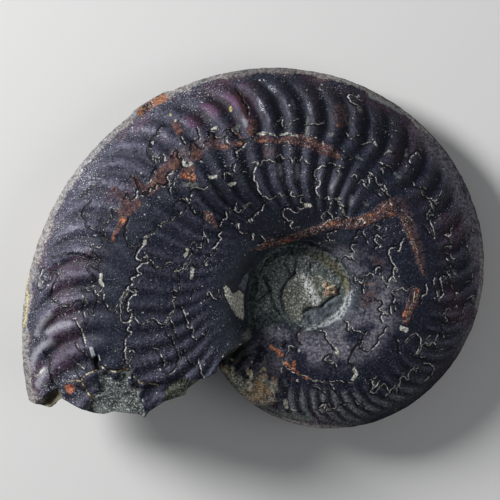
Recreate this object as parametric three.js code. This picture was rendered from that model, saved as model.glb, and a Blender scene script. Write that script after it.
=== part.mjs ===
// Fossil ammonite, a flat disc-shaped Harpoceras, lying on one flank.
// Millimetres, +Z up. The coil's axis stands nearly upright, and the whorl grows
// counter-clockwise, as seen from above, to a broken mouth at the lower left.
import * as THREE from 'three';

// Coil, with angles in degrees counter-clockwise from +X about the coil's axis
const KEEL_RADIUS = 37.3; // from the axis to the keel, at angle 0
const WHORL_EXPANSION = 2.69; // keel radius after one turn, over the radius before it
const MOUTH_ANGLE = 218; // where the last whorl ends at its umbilical seam
const RIBS_PER_TURN = 55;
const INNER_TURNS = 1.2; // turns modelled inside the last one
const RIB_CROWDING = 0.17; // how much the rib spacing swings about its mean
const WIDEST_RIBS_ANGLE = 48; // where the ribs stand furthest apart

// Whorl section from the umbilical wall to the keel: [distance from the coil's axis,
// half thickness], both as shares of the keel radius. The seam point comes before these.
const SECTION = [
  [0.236, 0.104],
  [0.262, 0.139],
  [0.33, 0.16],
  [0.42, 0.17],
  [0.52, 0.174],
  [0.613, 0.169],
  [0.69, 0.157],
  [0.755, 0.14],
  [0.815, 0.119],
  [0.865, 0.097],
  [0.91, 0.072],
  [0.945, 0.048],
  [0.968, 0.026],
  [1.0, 0],
];
const OVERLAP_COLUMN = 6; // the next whorl covers the section outside this point

// Sickle-shaped ribs: [share of the keel radius, lead in degrees], then their heights
const RIB_SHAPE = [
  [0.33, 0],
  [0.5, 2],
  [0.78, -2],
  [0.9, 0],
  [1.0, 8],
];
const OUTER_RIB_HEIGHT = 0.0095; // shares of the keel radius, crest over mid surface
const INNER_RIB_HEIGHT = 0.0055;
const INNER_RIBS_START = [-20, 60]; // angles over which the inner ribs appear

// Broken mouth: [share of the keel radius, angle] where the fracture reaches furthest, at
// the middle of the whorl's thickness, and how far short of it the two flanks break off
const BREAK_OUTLINE = [
  [0.23, 218],
  [0.305, 216],
  [0.375, 220],
  [0.42, 219],
  [0.52, 218],
  [0.57, 216.5],
  [0.65, 216.5],
  [0.73, 211.5],
  [0.8, 209],
  [0.86, 204.5],
  [0.93, 204],
  [1.0, 201],
];
const UPPER_EDGE_RETREAT = 1; // degrees
const LOWER_EDGE_RETREAT = 3.5; // degrees
const RETREAT_FADES_AT = [0.86, 1.0]; // shares of the keel radius
const ROWS_BENT_BY_BREAK = 44; // rows over which the ribs adapt to the broken edge
const ROWS_WITHOUT_INNER_RIBS = 14; // rows from the break to the first full inner rib
const ROWS_BENT_BY_START = 8; // rows over which the ribs bend out of the break's shadow

// Sediment that fills the umbilicus on both sides
const FILL_HALF_THICKNESS = 3.1; // from the coil's middle plane to the sediment
const FILL_EDGE_ROWS = 10; // rows over which the sediment thins out

// Rest: two turns lay the disc on its lower flank, and wear flattens what it lies on
const LEAN_ABOUT_X = -2.97;
const LEAN_ABOUT_Y = 2.5;
const WEAR_DEPTH = 0.6;

const rowsPerTurn = 2 * RIBS_PER_TURN;
const rowCount = Math.round(rowsPerTurn * (1 + INNER_TURNS));
const growth = Math.log(WHORL_EXPANSION) / (2 * Math.PI);
const keelColumn = SECTION.length;
const seam = SECTION[OVERLAP_COLUMN - 1].map((share) => share / WHORL_EXPANSION);
const section = [seam, ...SECTION];

function radians(degrees) {
  return THREE.MathUtils.degToRad(degrees);
}

function smooth(value, from, to) {
  return THREE.MathUtils.smoothstep(value, from, to);
}

// Value at a place along a list of [place, value] points, straight between them
function along(points, place) {
  const after = points.findIndex(([at]) => at > place);
  if (after === 0) return points[0][1];
  if (after === -1) return points[points.length - 1][1];
  const [fromPlace, fromValue] = points[after - 1];
  const [toPlace, toValue] = points[after];
  return THREE.MathUtils.mapLinear(place, fromPlace, toPlace, fromValue, toValue);
}

function keelRadius(angle) {
  return KEEL_RADIUS * Math.exp(growth * radians(angle));
}

function pointAt(angle, share, height) {
  const radius = keelRadius(angle) * share;
  const turned = radians(angle);
  return new THREE.Vector3(radius * Math.cos(turned), radius * Math.sin(turned), height);
}

// Angle of a row at the umbilical seam. Rows run inward from the mouth, and crests and
// furrows take turns, so the rows crowd where the ribs do.
function seamAngle(row) {
  const even = MOUTH_ANGLE - (360 * row) / rowsPerTurn;
  const swing = (angle) => THREE.MathUtils.radToDeg(
    RIB_CROWDING * Math.sin(radians(angle - WIDEST_RIBS_ANGLE)));
  return even + swing(even) - swing(MOUTH_ANGLE);
}

// Angle of a row where it crosses the flank: the rib's sickle shape, bent to the break
function rowAngle(row, share, side) {
  const atSeam = seamAngle(row);
  if (row >= rowsPerTurn) return atSeam;
  const fromBreak = smooth(row, 0, ROWS_BENT_BY_BREAK);
  const fromStart = smooth(rowsPerTurn - row, 0, ROWS_BENT_BY_START);
  const sickle = along(RIB_SHAPE, share) * fromStart;
  return atSeam + THREE.MathUtils.lerp(brokenAngle(share, side) - MOUTH_ANGLE, sickle, fromBreak);
}

// Angle of a flank's broken edge, which falls short of the fracture's own outline
function brokenAngle(share, side) {
  const retreat = side > 0 ? UPPER_EDGE_RETREAT : LOWER_EDGE_RETREAT;
  return along(BREAK_OUTLINE, share) - retreat * (1 - smooth(share, ...RETREAT_FADES_AT));
}

function ribHeight(row, angle, share) {
  if (row > rowsPerTurn) return 0;
  const outer = OUTER_RIB_HEIGHT * smooth(share, 0.6, 0.72) * (1 - smooth(share, 0.88, 0.965));
  const inner = INNER_RIB_HEIGHT * smooth(share, 0.33, 0.46) * (1 - smooth(share, 0.6, 0.72));
  const started = smooth(angle, ...INNER_RIBS_START) * smooth(row, 0, ROWS_WITHOUT_INNER_RIBS);
  const crestOrFurrow = row % 2 === 0 ? 1 : -1;
  return crestOrFurrow * (outer + inner * started);
}

function halfThickness(row, angle, column) {
  const [share, thickness] = section[column];
  const bare = keelRadius(angle) * (thickness + ribHeight(row, angle, share));
  const filled = FILL_HALF_THICKNESS * smooth(row - rowsPerTurn, 0, FILL_EDGE_ROWS);
  return Math.max(bare, filled);
}

// The skin: one list of corners shared by neighbouring triangles, so that it closes
const corners = [];
const triangles = [];

function addCorner(corner) {
  corners.push(corner);
  return corners.length - 1;
}

function addTriangle(side, first, second, third) {
  if (side > 0) triangles.push(first, second, third);
  else triangles.push(first, third, second);
}

// Corners of one side, as side[row][column]. The seam corner of a row belongs to the
// whorl inside it, and both sides share the keel's corners.
function layOutSide(side, keel) {
  const grid = [];
  for (let row = rowCount; row >= 0; row -= 1) {
    const last = row > rowsPerTurn ? OVERLAP_COLUMN : keelColumn;
    grid[row] = [];
    for (let column = 0; column <= last; column += 1) {
      const innerRow = row + rowsPerTurn;
      if (column === 0 && innerRow <= rowCount) {
        grid[row].push(grid[innerRow][OVERLAP_COLUMN]);
      } else if (column === keelColumn) {
        grid[row].push(keel[row]);
      } else {
        const share = section[column][0];
        const angle = rowAngle(row, share, side);
        grid[row].push(addCorner(pointAt(angle, share, side * halfThickness(row, angle, column))));
      }
    }
  }
  return grid;
}

function layOutKeel() {
  const keel = [];
  for (let row = 0; row <= rowsPerTurn; row += 1) {
    keel.push(addCorner(pointAt(rowAngle(row, 1, 1), 1, 0)));
  }
  return keel;
}

function coverFlank(side, grid) {
  for (let row = 0; row < rowCount; row += 1) {
    const last = row >= rowsPerTurn ? OVERLAP_COLUMN : keelColumn;
    for (let column = 0; column < last; column += 1) {
      const inner = grid[row][column];
      const outer = grid[row][column + 1];
      const nextInner = grid[row + 1][column];
      const nextOuter = grid[row + 1][column + 1];
      addTriangle(side, inner, nextInner, outer);
      addTriangle(side, nextInner, nextOuter, outer);
    }
  }
}

// The innermost turn ends in a small disc around the coil's axis
function coverCentre(side, grid) {
  const rim = [];
  for (let row = rowCount - rowsPerTurn; row <= rowCount; row += 1) rim.push(grid[row][0]);
  for (let column = 1; column < OVERLAP_COLUMN; column += 1) rim.push(grid[rowCount][column]);
  const middle = addCorner(new THREE.Vector3(0, 0, side * FILL_HALF_THICKNESS));
  rim.forEach((corner, index) => {
    const next = rim[(index + 1) % rim.length];
    if (corner !== next) addTriangle(side, corner, middle, next);
  });
}

// The fracture runs from the flank's edge to the ridge at the middle of the thickness.
// Inside the keel of the whorl before, it ends on that whorl's flank instead.
function coverBreak(side, grid, ridge) {
  const edge = grid[0];
  const before = grid[rowsPerTurn];
  const keelShare = 1 / WHORL_EXPANSION;
  const firstFree = section.findIndex(([share]) => share > keelShare);
  let edgeColumn = 0;
  let innerColumn = OVERLAP_COLUMN;
  while (edgeColumn < firstFree || innerColumn < keelColumn) {
    const edgeShare = section[edgeColumn][0];
    const innerShare = section[innerColumn][0] / WHORL_EXPANSION;
    const moveEdge = innerColumn === keelColumn || (edgeColumn < firstFree && edgeShare <= innerShare);
    const corner = moveEdge ? edge[edgeColumn + 1] : before[innerColumn + 1];
    if (edge[edgeColumn] !== before[innerColumn]) {
      addTriangle(side, edge[edgeColumn], corner, before[innerColumn]);
    }
    if (moveEdge) edgeColumn += 1;
    else innerColumn += 1;
  }
  for (let column = firstFree; column < keelColumn; column += 1) {
    const inner = column === firstFree ? before[keelColumn] : ridge[column];
    const outer = ridge[column + 1];
    addTriangle(side, edge[column], edge[column + 1], inner);
    if (column + 1 < keelColumn) addTriangle(side, edge[column + 1], outer, inner);
  }
}

function layOutRidge() {
  return section.map(([share], column) => {
    if (share <= 1 / WHORL_EXPANSION || column === keelColumn) return undefined;
    return addCorner(pointAt(along(BREAK_OUTLINE, share), share, 0));
  });
}

function makeSkin() {
  const keel = layOutKeel();
  const ridge = layOutRidge();
  for (const side of [1, -1]) {
    const grid = layOutSide(side, keel);
    coverFlank(side, grid);
    coverCentre(side, grid);
    coverBreak(side, grid, ridge);
  }
}

// Lays the disc down, sets its origin under the middle of its outline and wears it flat
function layDown() {
  const lean = new THREE.Euler(radians(LEAN_ABOUT_X), radians(LEAN_ABOUT_Y), 0);
  corners.forEach((corner) => corner.applyEuler(lean));
  const box = new THREE.Box3().setFromPoints(corners);
  const middle = box.getCenter(new THREE.Vector3());
  corners.forEach((corner) => {
    corner.x -= middle.x;
    corner.y -= middle.y;
    corner.z = Math.max(corner.z - box.min.z - WEAR_DEPTH, 0);
  });
}

makeSkin();
layDown();
const geometry = new THREE.BufferGeometry().setFromPoints(corners);
geometry.setIndex(triangles);
geometry.computeVertexNormals();

const stone = new THREE.MeshStandardMaterial({ color: 0x34323c, roughness: 0.62, metalness: 0 });
const ammonite = new THREE.Mesh(geometry, stone);
ammonite.name = 'ammonite';

const fossil = new THREE.Group();
fossil.add(ammonite);

export default fossil;
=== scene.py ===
# The looks of a fossil ammonite that lies on one flank: a dark mould with frilly sutures.
# Lengths are in millimetres until the mesh is made, and angles in degrees about the coil.
import math

import bpy
import numpy as np
from mathutils import Euler, Matrix, Vector
from mathutils.kdtree import KDTree


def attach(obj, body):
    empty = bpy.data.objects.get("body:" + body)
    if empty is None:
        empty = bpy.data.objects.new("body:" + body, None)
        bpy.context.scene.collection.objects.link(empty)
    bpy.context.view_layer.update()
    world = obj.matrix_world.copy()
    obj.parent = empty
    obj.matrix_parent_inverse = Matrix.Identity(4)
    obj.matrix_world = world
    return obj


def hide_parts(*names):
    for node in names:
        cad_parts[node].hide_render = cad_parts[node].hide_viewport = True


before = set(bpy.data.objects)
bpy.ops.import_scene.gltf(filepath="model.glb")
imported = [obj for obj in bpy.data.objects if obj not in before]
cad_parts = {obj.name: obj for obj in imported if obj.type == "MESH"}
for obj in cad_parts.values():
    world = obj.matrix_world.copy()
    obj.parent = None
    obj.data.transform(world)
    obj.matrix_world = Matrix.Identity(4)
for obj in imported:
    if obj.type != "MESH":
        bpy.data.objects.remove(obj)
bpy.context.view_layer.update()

# Coil
KEEL_RADIUS = 37.3  # from the coil's axis to the keel, at angle 0
WHORL_EXPANSION = 2.69  # keel radius after one turn, over the radius before it
MOUTH_ANGLE = 218.0  # where the last whorl ends at its umbilical seam
LEAN = (-2.97, 2.5, 0.0)  # how the disc leans where it lies
WEAR_DEPTH = 0.6  # how deep the resting flank is worn flat
FILL_HEIGHT = 3.1  # sediment in the umbilicus, from the coil's middle plane
WALL_WIDTH = 1.9  # of the umbilical wall, seen from above

# Whorl section: (distance from the axis, half thickness), as shares of the keel radius
SECTION = [
    (0.236, 0.104), (0.262, 0.139), (0.33, 0.16), (0.42, 0.17), (0.52, 0.174),
    (0.613, 0.169), (0.69, 0.157), (0.755, 0.14), (0.815, 0.119), (0.865, 0.097),
    (0.91, 0.072), (0.945, 0.048), (0.968, 0.026), (1.0, 0.0),
]
OVERLAP_SHARE = 0.613  # the next whorl covers the section outside this point
SECTION_STEPS = 400  # points of the smoothed section

# Ribs: (angle, how many ribs lie before it) and (share of the keel radius, lead across it)
RIB_NUMBERS = [
    (-160, -5), (-128.8, 0.4), (-91.5, 6), (-46, 14), (-8, 20), (29.5, 25), (61, 29),
    (97.2, 34), (126.5, 38), (152, 42), (177, 46), (202.2, 50), (232, 55),
]
RIB_LEAD = [
    (0.23, -12), (0.3, -7), (0.4, 0), (0.48, 2), (0.6, 0.5), (0.76, -2.2), (0.86, -0.8),
    (0.93, 2.5), (1.0, 9),
]
OUTER_RIB_HEIGHT = 0.0088  # shares of the keel radius, crest over mid surface
MIDDLE_RIB_HEIGHT = 0.00385
INNER_RIB_HEIGHT = 0.0062

# Broken mouth: (share of the keel radius, angle) of the outline seen from above
BREAK_OUTLINE = [
    (0.228, 218), (0.26, 217), (0.305, 215.5), (0.333, 216), (0.367, 218.3),
    (0.378, 220.3), (0.417, 219), (0.464, 215.8), (0.497, 219), (0.567, 216.5),
    (0.63, 216.3), (0.643, 217.2), (0.657, 215.1), (0.729, 211), (0.76, 210.5),
    (0.798, 208.9), (0.855, 205), (0.881, 203.1), (0.935, 203.9), (0.987, 201.9),
    (1.0, 201),
]
LOWER_EDGE_RETREAT = 3.5  # how far the hidden flank breaks off earlier along the coil
ANGLE_BENT_BY_BREAK = 50.0  # the rows of the skin adapt to the break over this angle
RIDGE_START_SHARE = 0.39  # the fracture's two faces meet in a ridge outside this share
BREAK_LUMPS = [(4.0, 0.7, 51), (1.5, 0.3, 52), (0.6, 0.12, 53)]  # size, height and seed

# The photograph: the coil's axis in pixels, and the scale
PHOTO_AXIS = (309.0, 292.0)
PHOTO_SIZE = 500
MM_PER_PIXEL = 0.2155

# Skin: rows along the whorl, and columns from the umbilical seam to the keel
ROWS = 720
UPPER_COLUMNS = 94
LOWER_COLUMNS = 20
BREAK_ROWS = 12
UPPER_DISC = (30, 2)  # rings in the umbilicus, and rim corners for each corner of a ring
LOWER_DISC = (12, 4)
INNERMOST_RING = 0.02  # its size, as a share of the rim
DISC_SHARE = 0.1  # stands in for the share of the keel radius inside the umbilicus
FLANK_START_SHARE = 0.2  # every corner of the flanks has a larger share than this
HIDDEN_SIDE_TURN = 64.0  # the hidden flank's blemishes sit this far along the coil
FAR_OUTSIDE = -5.0  # depth of the hidden flank inside what only the upper flank has

# Numbers that scatter the corners of the noise lattice
AXIS_FACTORS = (73856093, 19349663, 83492791)
SEED_FACTOR = 974634777
MIX_FACTOR = 1274126177

# Sutures, in millimetres
SUTURE_STEP = 0.04  # between the places that stand for a suture
SUTURE_REACH = 1.5  # farther from a suture its distance is not told apart
FRILL_SIZE = 0.5
FRILL_HEIGHT = 0.18

# Relief in the umbilicus, as lines in photograph pixels
SEDIMENT_EDGE_GROOVE = [
    (263, 277), (268, 287), (271, 295), (274, 305), (281, 315), (289, 322), (301, 328),
]
INNER_WHORL_GROOVE = [
    (295, 273), (287, 281), (281.5, 290), (280.5, 299), (284, 311), (290, 320),
]
CENTRE_EDGE_GROOVE = [
    (304, 311), (310, 308), (318, 307.5), (325, 302), (335, 295), (338, 289),
]
CENTRE_RIDGE = [(305, 278), (308, 285), (312, 294), (316, 302)]
SEDIMENT_CRACKS = [
    [(285, 265), (290, 273)], [(310, 263), (310, 271)], [(270, 290), (257, 301)],
    [(296, 262), (294, 273)],
]
CRYSTALS = [[(325, 285)], [(328, 288)], [(331, 288)], [(334, 292)], [(327, 293)]]
# The same relief as (lines, height, half width, steepness of the sides)
BOWL_RELIEF = [
    ([SEDIMENT_EDGE_GROOVE], -0.7, 0.5, 2), ([INNER_WHORL_GROOVE], -0.5, 0.4, 2),
    ([CENTRE_EDGE_GROOVE], -0.5, 0.38, 2), (SEDIMENT_CRACKS, -0.25, 0.22, 2),
    ([CENTRE_RIDGE], 0.4, 1.0, 2), (CRYSTALS, 0.55, 0.42, 4),
]

# Broken edge of the upper flank, as outlines in photograph pixels
BREAK_CRACKS = [
    [(62, 388), (70, 380), (78, 378), (84, 379), (88, 373), (93, 370), (101, 367)],
    [(84, 379), (87, 384), (92, 393), (97, 396)],
    [(104, 364), (110, 368), (118, 369), (126, 367), (127, 361)],
    [(127, 366), (131, 367), (137, 374), (143, 380), (152, 380), (161, 382)],
]
VENTER_WEDGE = [(36, 403), (47, 396), (59, 387.5), (64, 391), (66, 399), (50, 410), (34, 408)]
ORANGE_CHIP = [(66, 384), (74, 381), (78, 384), (77, 389), (72, 393), (68, 389)]
BREAK_MATRIX = [
    (101, 368), (107, 371), (112, 368), (113, 374), (118, 378.5), (122, 376), (124, 369),
    (128, 365), (133, 366), (137, 373), (142, 380), (143, 386), (141, 392), (144, 399),
    (147, 408), (146, 416), (86, 416), (88, 405), (92, 398), (96, 392), (103, 389),
    (104.5, 382), (102, 375),
]
MATRIX_FLAP = [  # a tongue of the mould that covers part of the bare matrix
    (131, 371), (129.5, 378), (131, 383.5), (138.5, 383), (138, 377), (134.5, 370),
]
BREAK_BLOCKS = [
    [(60, 386), (84, 380), (97, 398), (96, 415), (66, 400)],
    [(143, 383), (160, 380), (168, 388), (165, 398), (150, 418), (142, 402)],
]
GREEN_BLOCK = [(166, 399), (167, 388), (172, 379), (182, 376), (191, 375), (192, 388), (184, 395)]
# A pit, sunk in the mesh and painted near black as shade
SHADED_PIT = [(99, 357), (100.5, 362), (101.5, 365)]
PALE_SHARDS = [
    [(92.5, 345), (95, 357), (99, 356), (96, 345)],
    [(101, 352), (102, 358), (103.5, 359), (102.5, 353)],
    [(145, 392), (144.5, 398), (146, 399)],
]

# Remnants and tints on the flanks, and painted light and shade, in photograph pixels: outlines, and
# (half width, line)
LOWER_PIT = (285, 344)  # a small round hole below the umbilicus
RUST_PATCHES = [
    [(113, 189), (117, 187), (121, 190), (124, 197), (127, 199), (128, 193), (130, 193),
     (133, 199), (137, 201), (139, 198), (143, 203), (143, 207), (139, 210), (134, 214),
     (130, 218), (127, 224), (123, 230), (119, 236), (117, 243), (113, 243), (115, 237),
     (118, 229), (121, 222), (120, 214), (122, 206), (122, 200), (118, 194)],
    [(130, 177), (138, 176), (144, 184), (149, 187), (155, 179), (160, 171), (165, 167),
     (170, 171), (171, 181), (164, 188), (156, 196), (147, 197), (141, 192), (136, 185)],
    [(168, 166), (171, 156), (176, 150), (181, 152), (183, 164), (179, 170), (172, 172)],
    [(172, 122), (176, 121), (180, 124), (187, 135), (183, 134), (180, 137), (176, 134), (173, 128)],
    [(179, 177), (183, 170), (189, 168), (195, 167), (197, 175), (197, 182), (193, 185),
     (188, 182), (183, 180), (180, 181)],
    [(191, 146), (195, 144), (199, 146), (205, 158), (201, 162), (194, 161), (190, 156)],
    [(210, 137), (214, 136), (215, 145), (226, 147), (237, 146), (240, 143), (236, 134),
     (238, 134), (242, 140), (245, 145), (243, 148), (230, 149), (216, 150), (209, 147)],
    [(205, 212), (209, 211), (213, 214), (216, 219), (220, 232), (214, 228), (210, 223), (205, 219)],
    [(248, 120), (256, 122), (258, 128), (256, 136), (251, 138), (246, 134), (247, 126)],
    [(256, 138), (265, 138), (275, 141), (284, 139), (296, 138), (303, 136), (311, 139),
     (320, 144), (328, 146), (334, 150), (338, 156), (340, 160), (334, 160), (327, 158),
     (320, 156), (312, 152), (305, 149), (296, 147), (283, 145), (268, 145), (258, 145),
     (254, 142)],
    [(250, 250), (258, 247), (262, 241), (268, 238), (278, 239), (296, 232), (316, 226),
     (324, 221), (336, 219), (350, 218), (360, 216), (370, 211), (380, 203), (386, 200),
     (391, 200), (396, 210), (394, 216), (388, 218), (380, 219), (366, 226), (356, 229),
     (330, 229), (322, 231), (312, 236), (300, 239), (280, 245), (270, 248), (258, 251)],
    [(396, 210), (404, 217), (408, 227), (413, 239), (417, 251), (419, 262), (414, 255),
     (409, 246), (405, 236), (400, 226), (396, 217)],
    [(409, 287), (413, 286), (419, 289), (418, 298), (415, 306), (411, 312), (408, 320),
     (405, 325), (400, 322), (401, 314), (404, 306), (407, 297)],
    [(284, 362), (291, 362), (297, 370), (293, 372), (287, 367)],
    [(416, 254), (419, 262), (424, 276), (421, 277), (417, 267), (413, 256)],
]
BROWN_HAZE = [
    [(393, 199), (402, 198), (410, 213), (415, 232), (422, 250), (425, 277), (419, 276), (410, 252)],
    [(261, 147), (278, 149), (276, 160), (262, 160)], [(366, 257), (384, 257), (384, 264), (370, 268)],
    [(358, 288), (376, 286), (378, 300), (366, 308), (358, 304)],
    [(296, 332), (303, 332), (302, 341), (296, 341)],
    [(333, 104), (345, 107), (349, 124), (340, 131), (332, 122)],
    [(228, 357), (236, 355), (239, 362), (231, 364)],
    [(137, 182), (147, 188), (158, 180), (163, 168), (172, 152), (186, 146), (196, 141),
     (212, 135), (228, 142), (240, 139), (244, 149), (226, 153), (208, 153), (196, 162),
     (184, 168), (170, 182), (160, 194), (146, 200)],
]
ORANGE_SPOTS = [
    (3.1, (125, 221)), (1.7, [(117, 233), (115, 240)]), (4.0, [(186, 177), (193, 179)]),
    (1.6, [(260, 143), (266, 143)]), (1.5, [(239, 146), (244, 146)]), (1.2, [(220, 149), (228, 149)]),
    (1.4, (307, 142)), (1.2, (320, 152)), (1.9, [(387, 214), (393, 215)]),
    (1.4, [(367, 216), (371, 214)]), (2.0, [(325, 225), (335, 224)]), (1.3, [(348, 220), (353, 220)]),
    (1.5, [(282, 243), (290, 240)]), (1.7, [(262, 246), (269, 244)]), (1.3, [(302, 236), (312, 233)]),
    (2.6, (416, 290)), (2.4, [(285, 361), (289, 366)]),
    (2.8, [(405, 309), (402, 314)]), (2.2, (405, 321)), (1.4, (422, 274)), (1.6, (213, 219)),
    (1.4, (336, 127)), (1.6, [(262, 386), (265, 390)]), (1.3, (236, 373)), (1.4, (375, 150)),
    (1.8, [(273, 377), (275, 381)]), (1.8, (133, 178)),
    (2.8, [(294, 361), (293, 366), (294, 369)]), (2.2, (297, 371)), (1.6, (292, 378)),
    (1.8, [(302, 376), (308, 377)]), (1.4, (266, 334)), (1.6, (364, 304)), (1.4, (375, 146)),
    (1.3, [(364, 284), (372, 283)]), (2.0, (274, 387)), (1.4, (253, 239)),
]
ORANGE_STREAK = (2.8, [(271, 346), (276, 349), (281, 354)])
RED_FURROW = (4.4, [(238, 95), (243, 105), (247, 118)])
KEEL_CHIP = (5.5, [(141, 112), (150, 105), (163, 98)])
BOTTOM_CRUST = [
    (224, 370), (232, 368), (240, 376), (246, 379), (253, 381), (256, 374), (261, 373),
    (267, 379), (275, 381), (276, 388), (271, 392), (275, 399), (266, 404), (252, 401),
    (240, 393), (231, 384),
]
CREAM_FLAKES = [
    [(247, 366), (249, 365), (250, 369), (253, 370), (253, 376), (251, 380), (249, 382),
     (249, 375), (246, 374), (245, 370)],
    [(259, 370), (261, 367), (264, 365), (267, 367), (266, 370), (262, 370), (260, 373)],
    [(230, 358), (233, 357), (234, 360), (231, 361)], [(270, 386), (274, 388), (275, 393), (271, 392)],
    [(247, 386), (251, 385), (250, 390), (247, 391)], [(259, 380), (263, 379), (262, 383), (259, 384)],
    [(254, 392), (259, 393), (258, 397), (254, 396)],
]
CRUST_LINE_WIDTH = 0.7
CRUST_LINES = [
    [(282, 358), (283, 363), (287, 367), (291, 370), (296, 373), (303, 374), (308, 376)],
    [(283, 365), (281, 368), (281, 371)], [(265, 363), (265, 357), (264, 353)],
    [(257, 136), (262, 137), (267, 135), (272, 136), (277, 139)], [(282, 136), (286, 134), (292, 137)],
    [(257, 147), (262, 146), (269, 147)], [(279, 146), (284, 147)], [(223, 355), (224, 352)],
    [(319, 228), (327, 221), (337, 218)], [(391, 200), (396, 208), (403, 214), (410, 221)],
    [(399, 220), (403, 226), (408, 234), (412, 243), (415, 252)], [(413, 291), (411, 300), (407, 308)],
    [(380, 208), (386, 203), (390, 206)], [(354, 221), (360, 219), (364, 223), (358, 226)],
    [(128, 193), (131, 197), (135, 201), (139, 198)], [(148, 187), (152, 182), (156, 183), (160, 188)],
]
# Painted shade: the shadowed hollow below the mouth, darkened on the flank and on the fracture face
SHADED_HOLLOW_OUTLINE = [
    (219, 362), (226, 348), (236, 340), (246, 332), (252, 336), (252, 346), (248, 358),
    (243, 365), (235, 368),
]
# Painted highlights: pale crescents on lit rib crests and small glints
PAINTED_HIGHLIGHTS = [
    (2.6, [(31, 370), (33, 360), (38, 351), (45, 345), (54, 341)]),
    (2.0, [(50, 331), (60, 325), (72, 322)]), (2.0, [(38, 333), (44, 322), (52, 314)]),
    (2.2, [(38, 384), (46, 369)]), (1.6, [(36, 272), (40, 285)]), (0.9, [(309, 106), (310, 113)]),
    (0.8, [(261, 104), (262, 112)]), (0.8, [(350, 198), (349, 204)]), (0.6, [(331, 188), (331, 192)]),
    (0.6, [(270, 90), (273, 92)]), (0.9, [(243, 121), (246, 127)]), (0.8, [(292, 103), (294, 110)]),
    (0.6, [(279, 167), (280, 176)]), (0.6, [(296, 166), (297, 178)]), (0.6, [(338, 176), (333, 186)]),
]
# Painted light on the rib crests of the dim lower flank, grey-blue with pale specks
RIB_LIGHT_FIELD = [
    (284, 388), (330, 386), (380, 396), (420, 380), (436, 392), (400, 424), (350, 436),
    (300, 430), (278, 412),
]
# Painted shade on the top outer flank and the middle flank, less on rib crests
SHADE_FIELDS = [
    [(252, 84), (300, 78), (345, 90), (400, 122), (415, 150), (385, 152), (345, 132), (262, 130)],
    [(205, 185), (245, 160), (262, 200), (330, 198), (346, 214), (300, 232), (255, 243), (215, 232)],
]
LILAC_FIELDS = [
    [(324, 248), (345, 247), (362, 252), (384, 270), (402, 290), (398, 320), (374, 354),
     (338, 370), (305, 362), (292, 345), (264, 340), (258, 322), (290, 329), (318, 334),
     (345, 318), (354, 296), (346, 270)],
    [(240, 345), (262, 338), (285, 342), (294, 358), (285, 372), (268, 376), (255, 380),
     (243, 372), (238, 358)],
    [(418, 116), (460, 160), (484, 220), (492, 290), (484, 345), (455, 392), (444, 384),
     (468, 338), (474, 290), (466, 232), (444, 178), (410, 128)],
]
# Below 0 the keel gets painted shade, on its dim lower right
KEEL_PALLOR = [  # (angle, how pale the keel is)
    (-150, 0.1), (-135, 0.8), (-90, 0.85), (-72, 0.1), (-60, -0.3), (-25, -0.1), (0, 0.3),
    (45, 0.25), (60, 0.6), (95, 0.65), (125, 0.65), (150, 0.9), (201, 1.0),
]
YELLOW_EDGE = (2.0, [(28, 273), (27, 285), (27, 300), (25.5, 315), (24.5, 326)])
KEEL_FILM = (3.0, [(370, 96), (386, 103), (402, 114)])
MAUVE_RIBS = (14.0, [(196, 122), (213, 108), (238, 100)])
# Painted highlight along the umbilical rim at the lower right, where the wall faces the light
RIM_HIGHLIGHT = [
    (350, 287), (353, 290), (352, 298), (348, 307), (342, 315), (334, 321), (325, 326),
    (315, 329), (304, 330.5), (305, 328), (313, 325), (323, 321), (331, 316), (338, 309),
    (344, 300), (347.5, 292),
]
RIM_DUST = (1.6, [(258, 268), (268, 256), (283, 247), (303, 245), (323, 251), (338, 262), (347, 276)])
BOWL_SEDIMENT = [
    (256, 294), (258, 278), (265, 266), (277, 258.5), (291, 255), (306, 255.5), (319, 260),
    (329, 267), (338, 277), (344, 288), (345, 297), (342, 306), (335, 314), (326, 320),
    (316, 325), (303, 327), (290, 326), (280, 319), (272, 311), (262, 312), (254, 320),
]
BOWL_CENTRE = [
    (290, 277), (303, 273), (318, 274), (331, 279), (339, 287), (337, 293), (329, 299),
    (320, 305), (310, 309.5), (304, 311), (301, 319), (292, 321), (284, 311), (281, 298),
    (283.5, 286),
]
SLATE_CRESCENT = [
    (304, 312), (312, 310), (324, 304), (337, 295), (343, 296), (339, 307), (330, 316),
    (318, 323), (304, 325),
]
PALE_PATCH = [
    (224, 282), (229, 285), (233, 292), (240, 289), (249, 300), (246, 312), (243, 320),
    (236, 315), (231, 305), (225, 294),
]
BLUE_PATCH = [(238, 286), (244, 275), (248.5, 271), (249.5, 283), (250, 297), (241, 290)]
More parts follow.
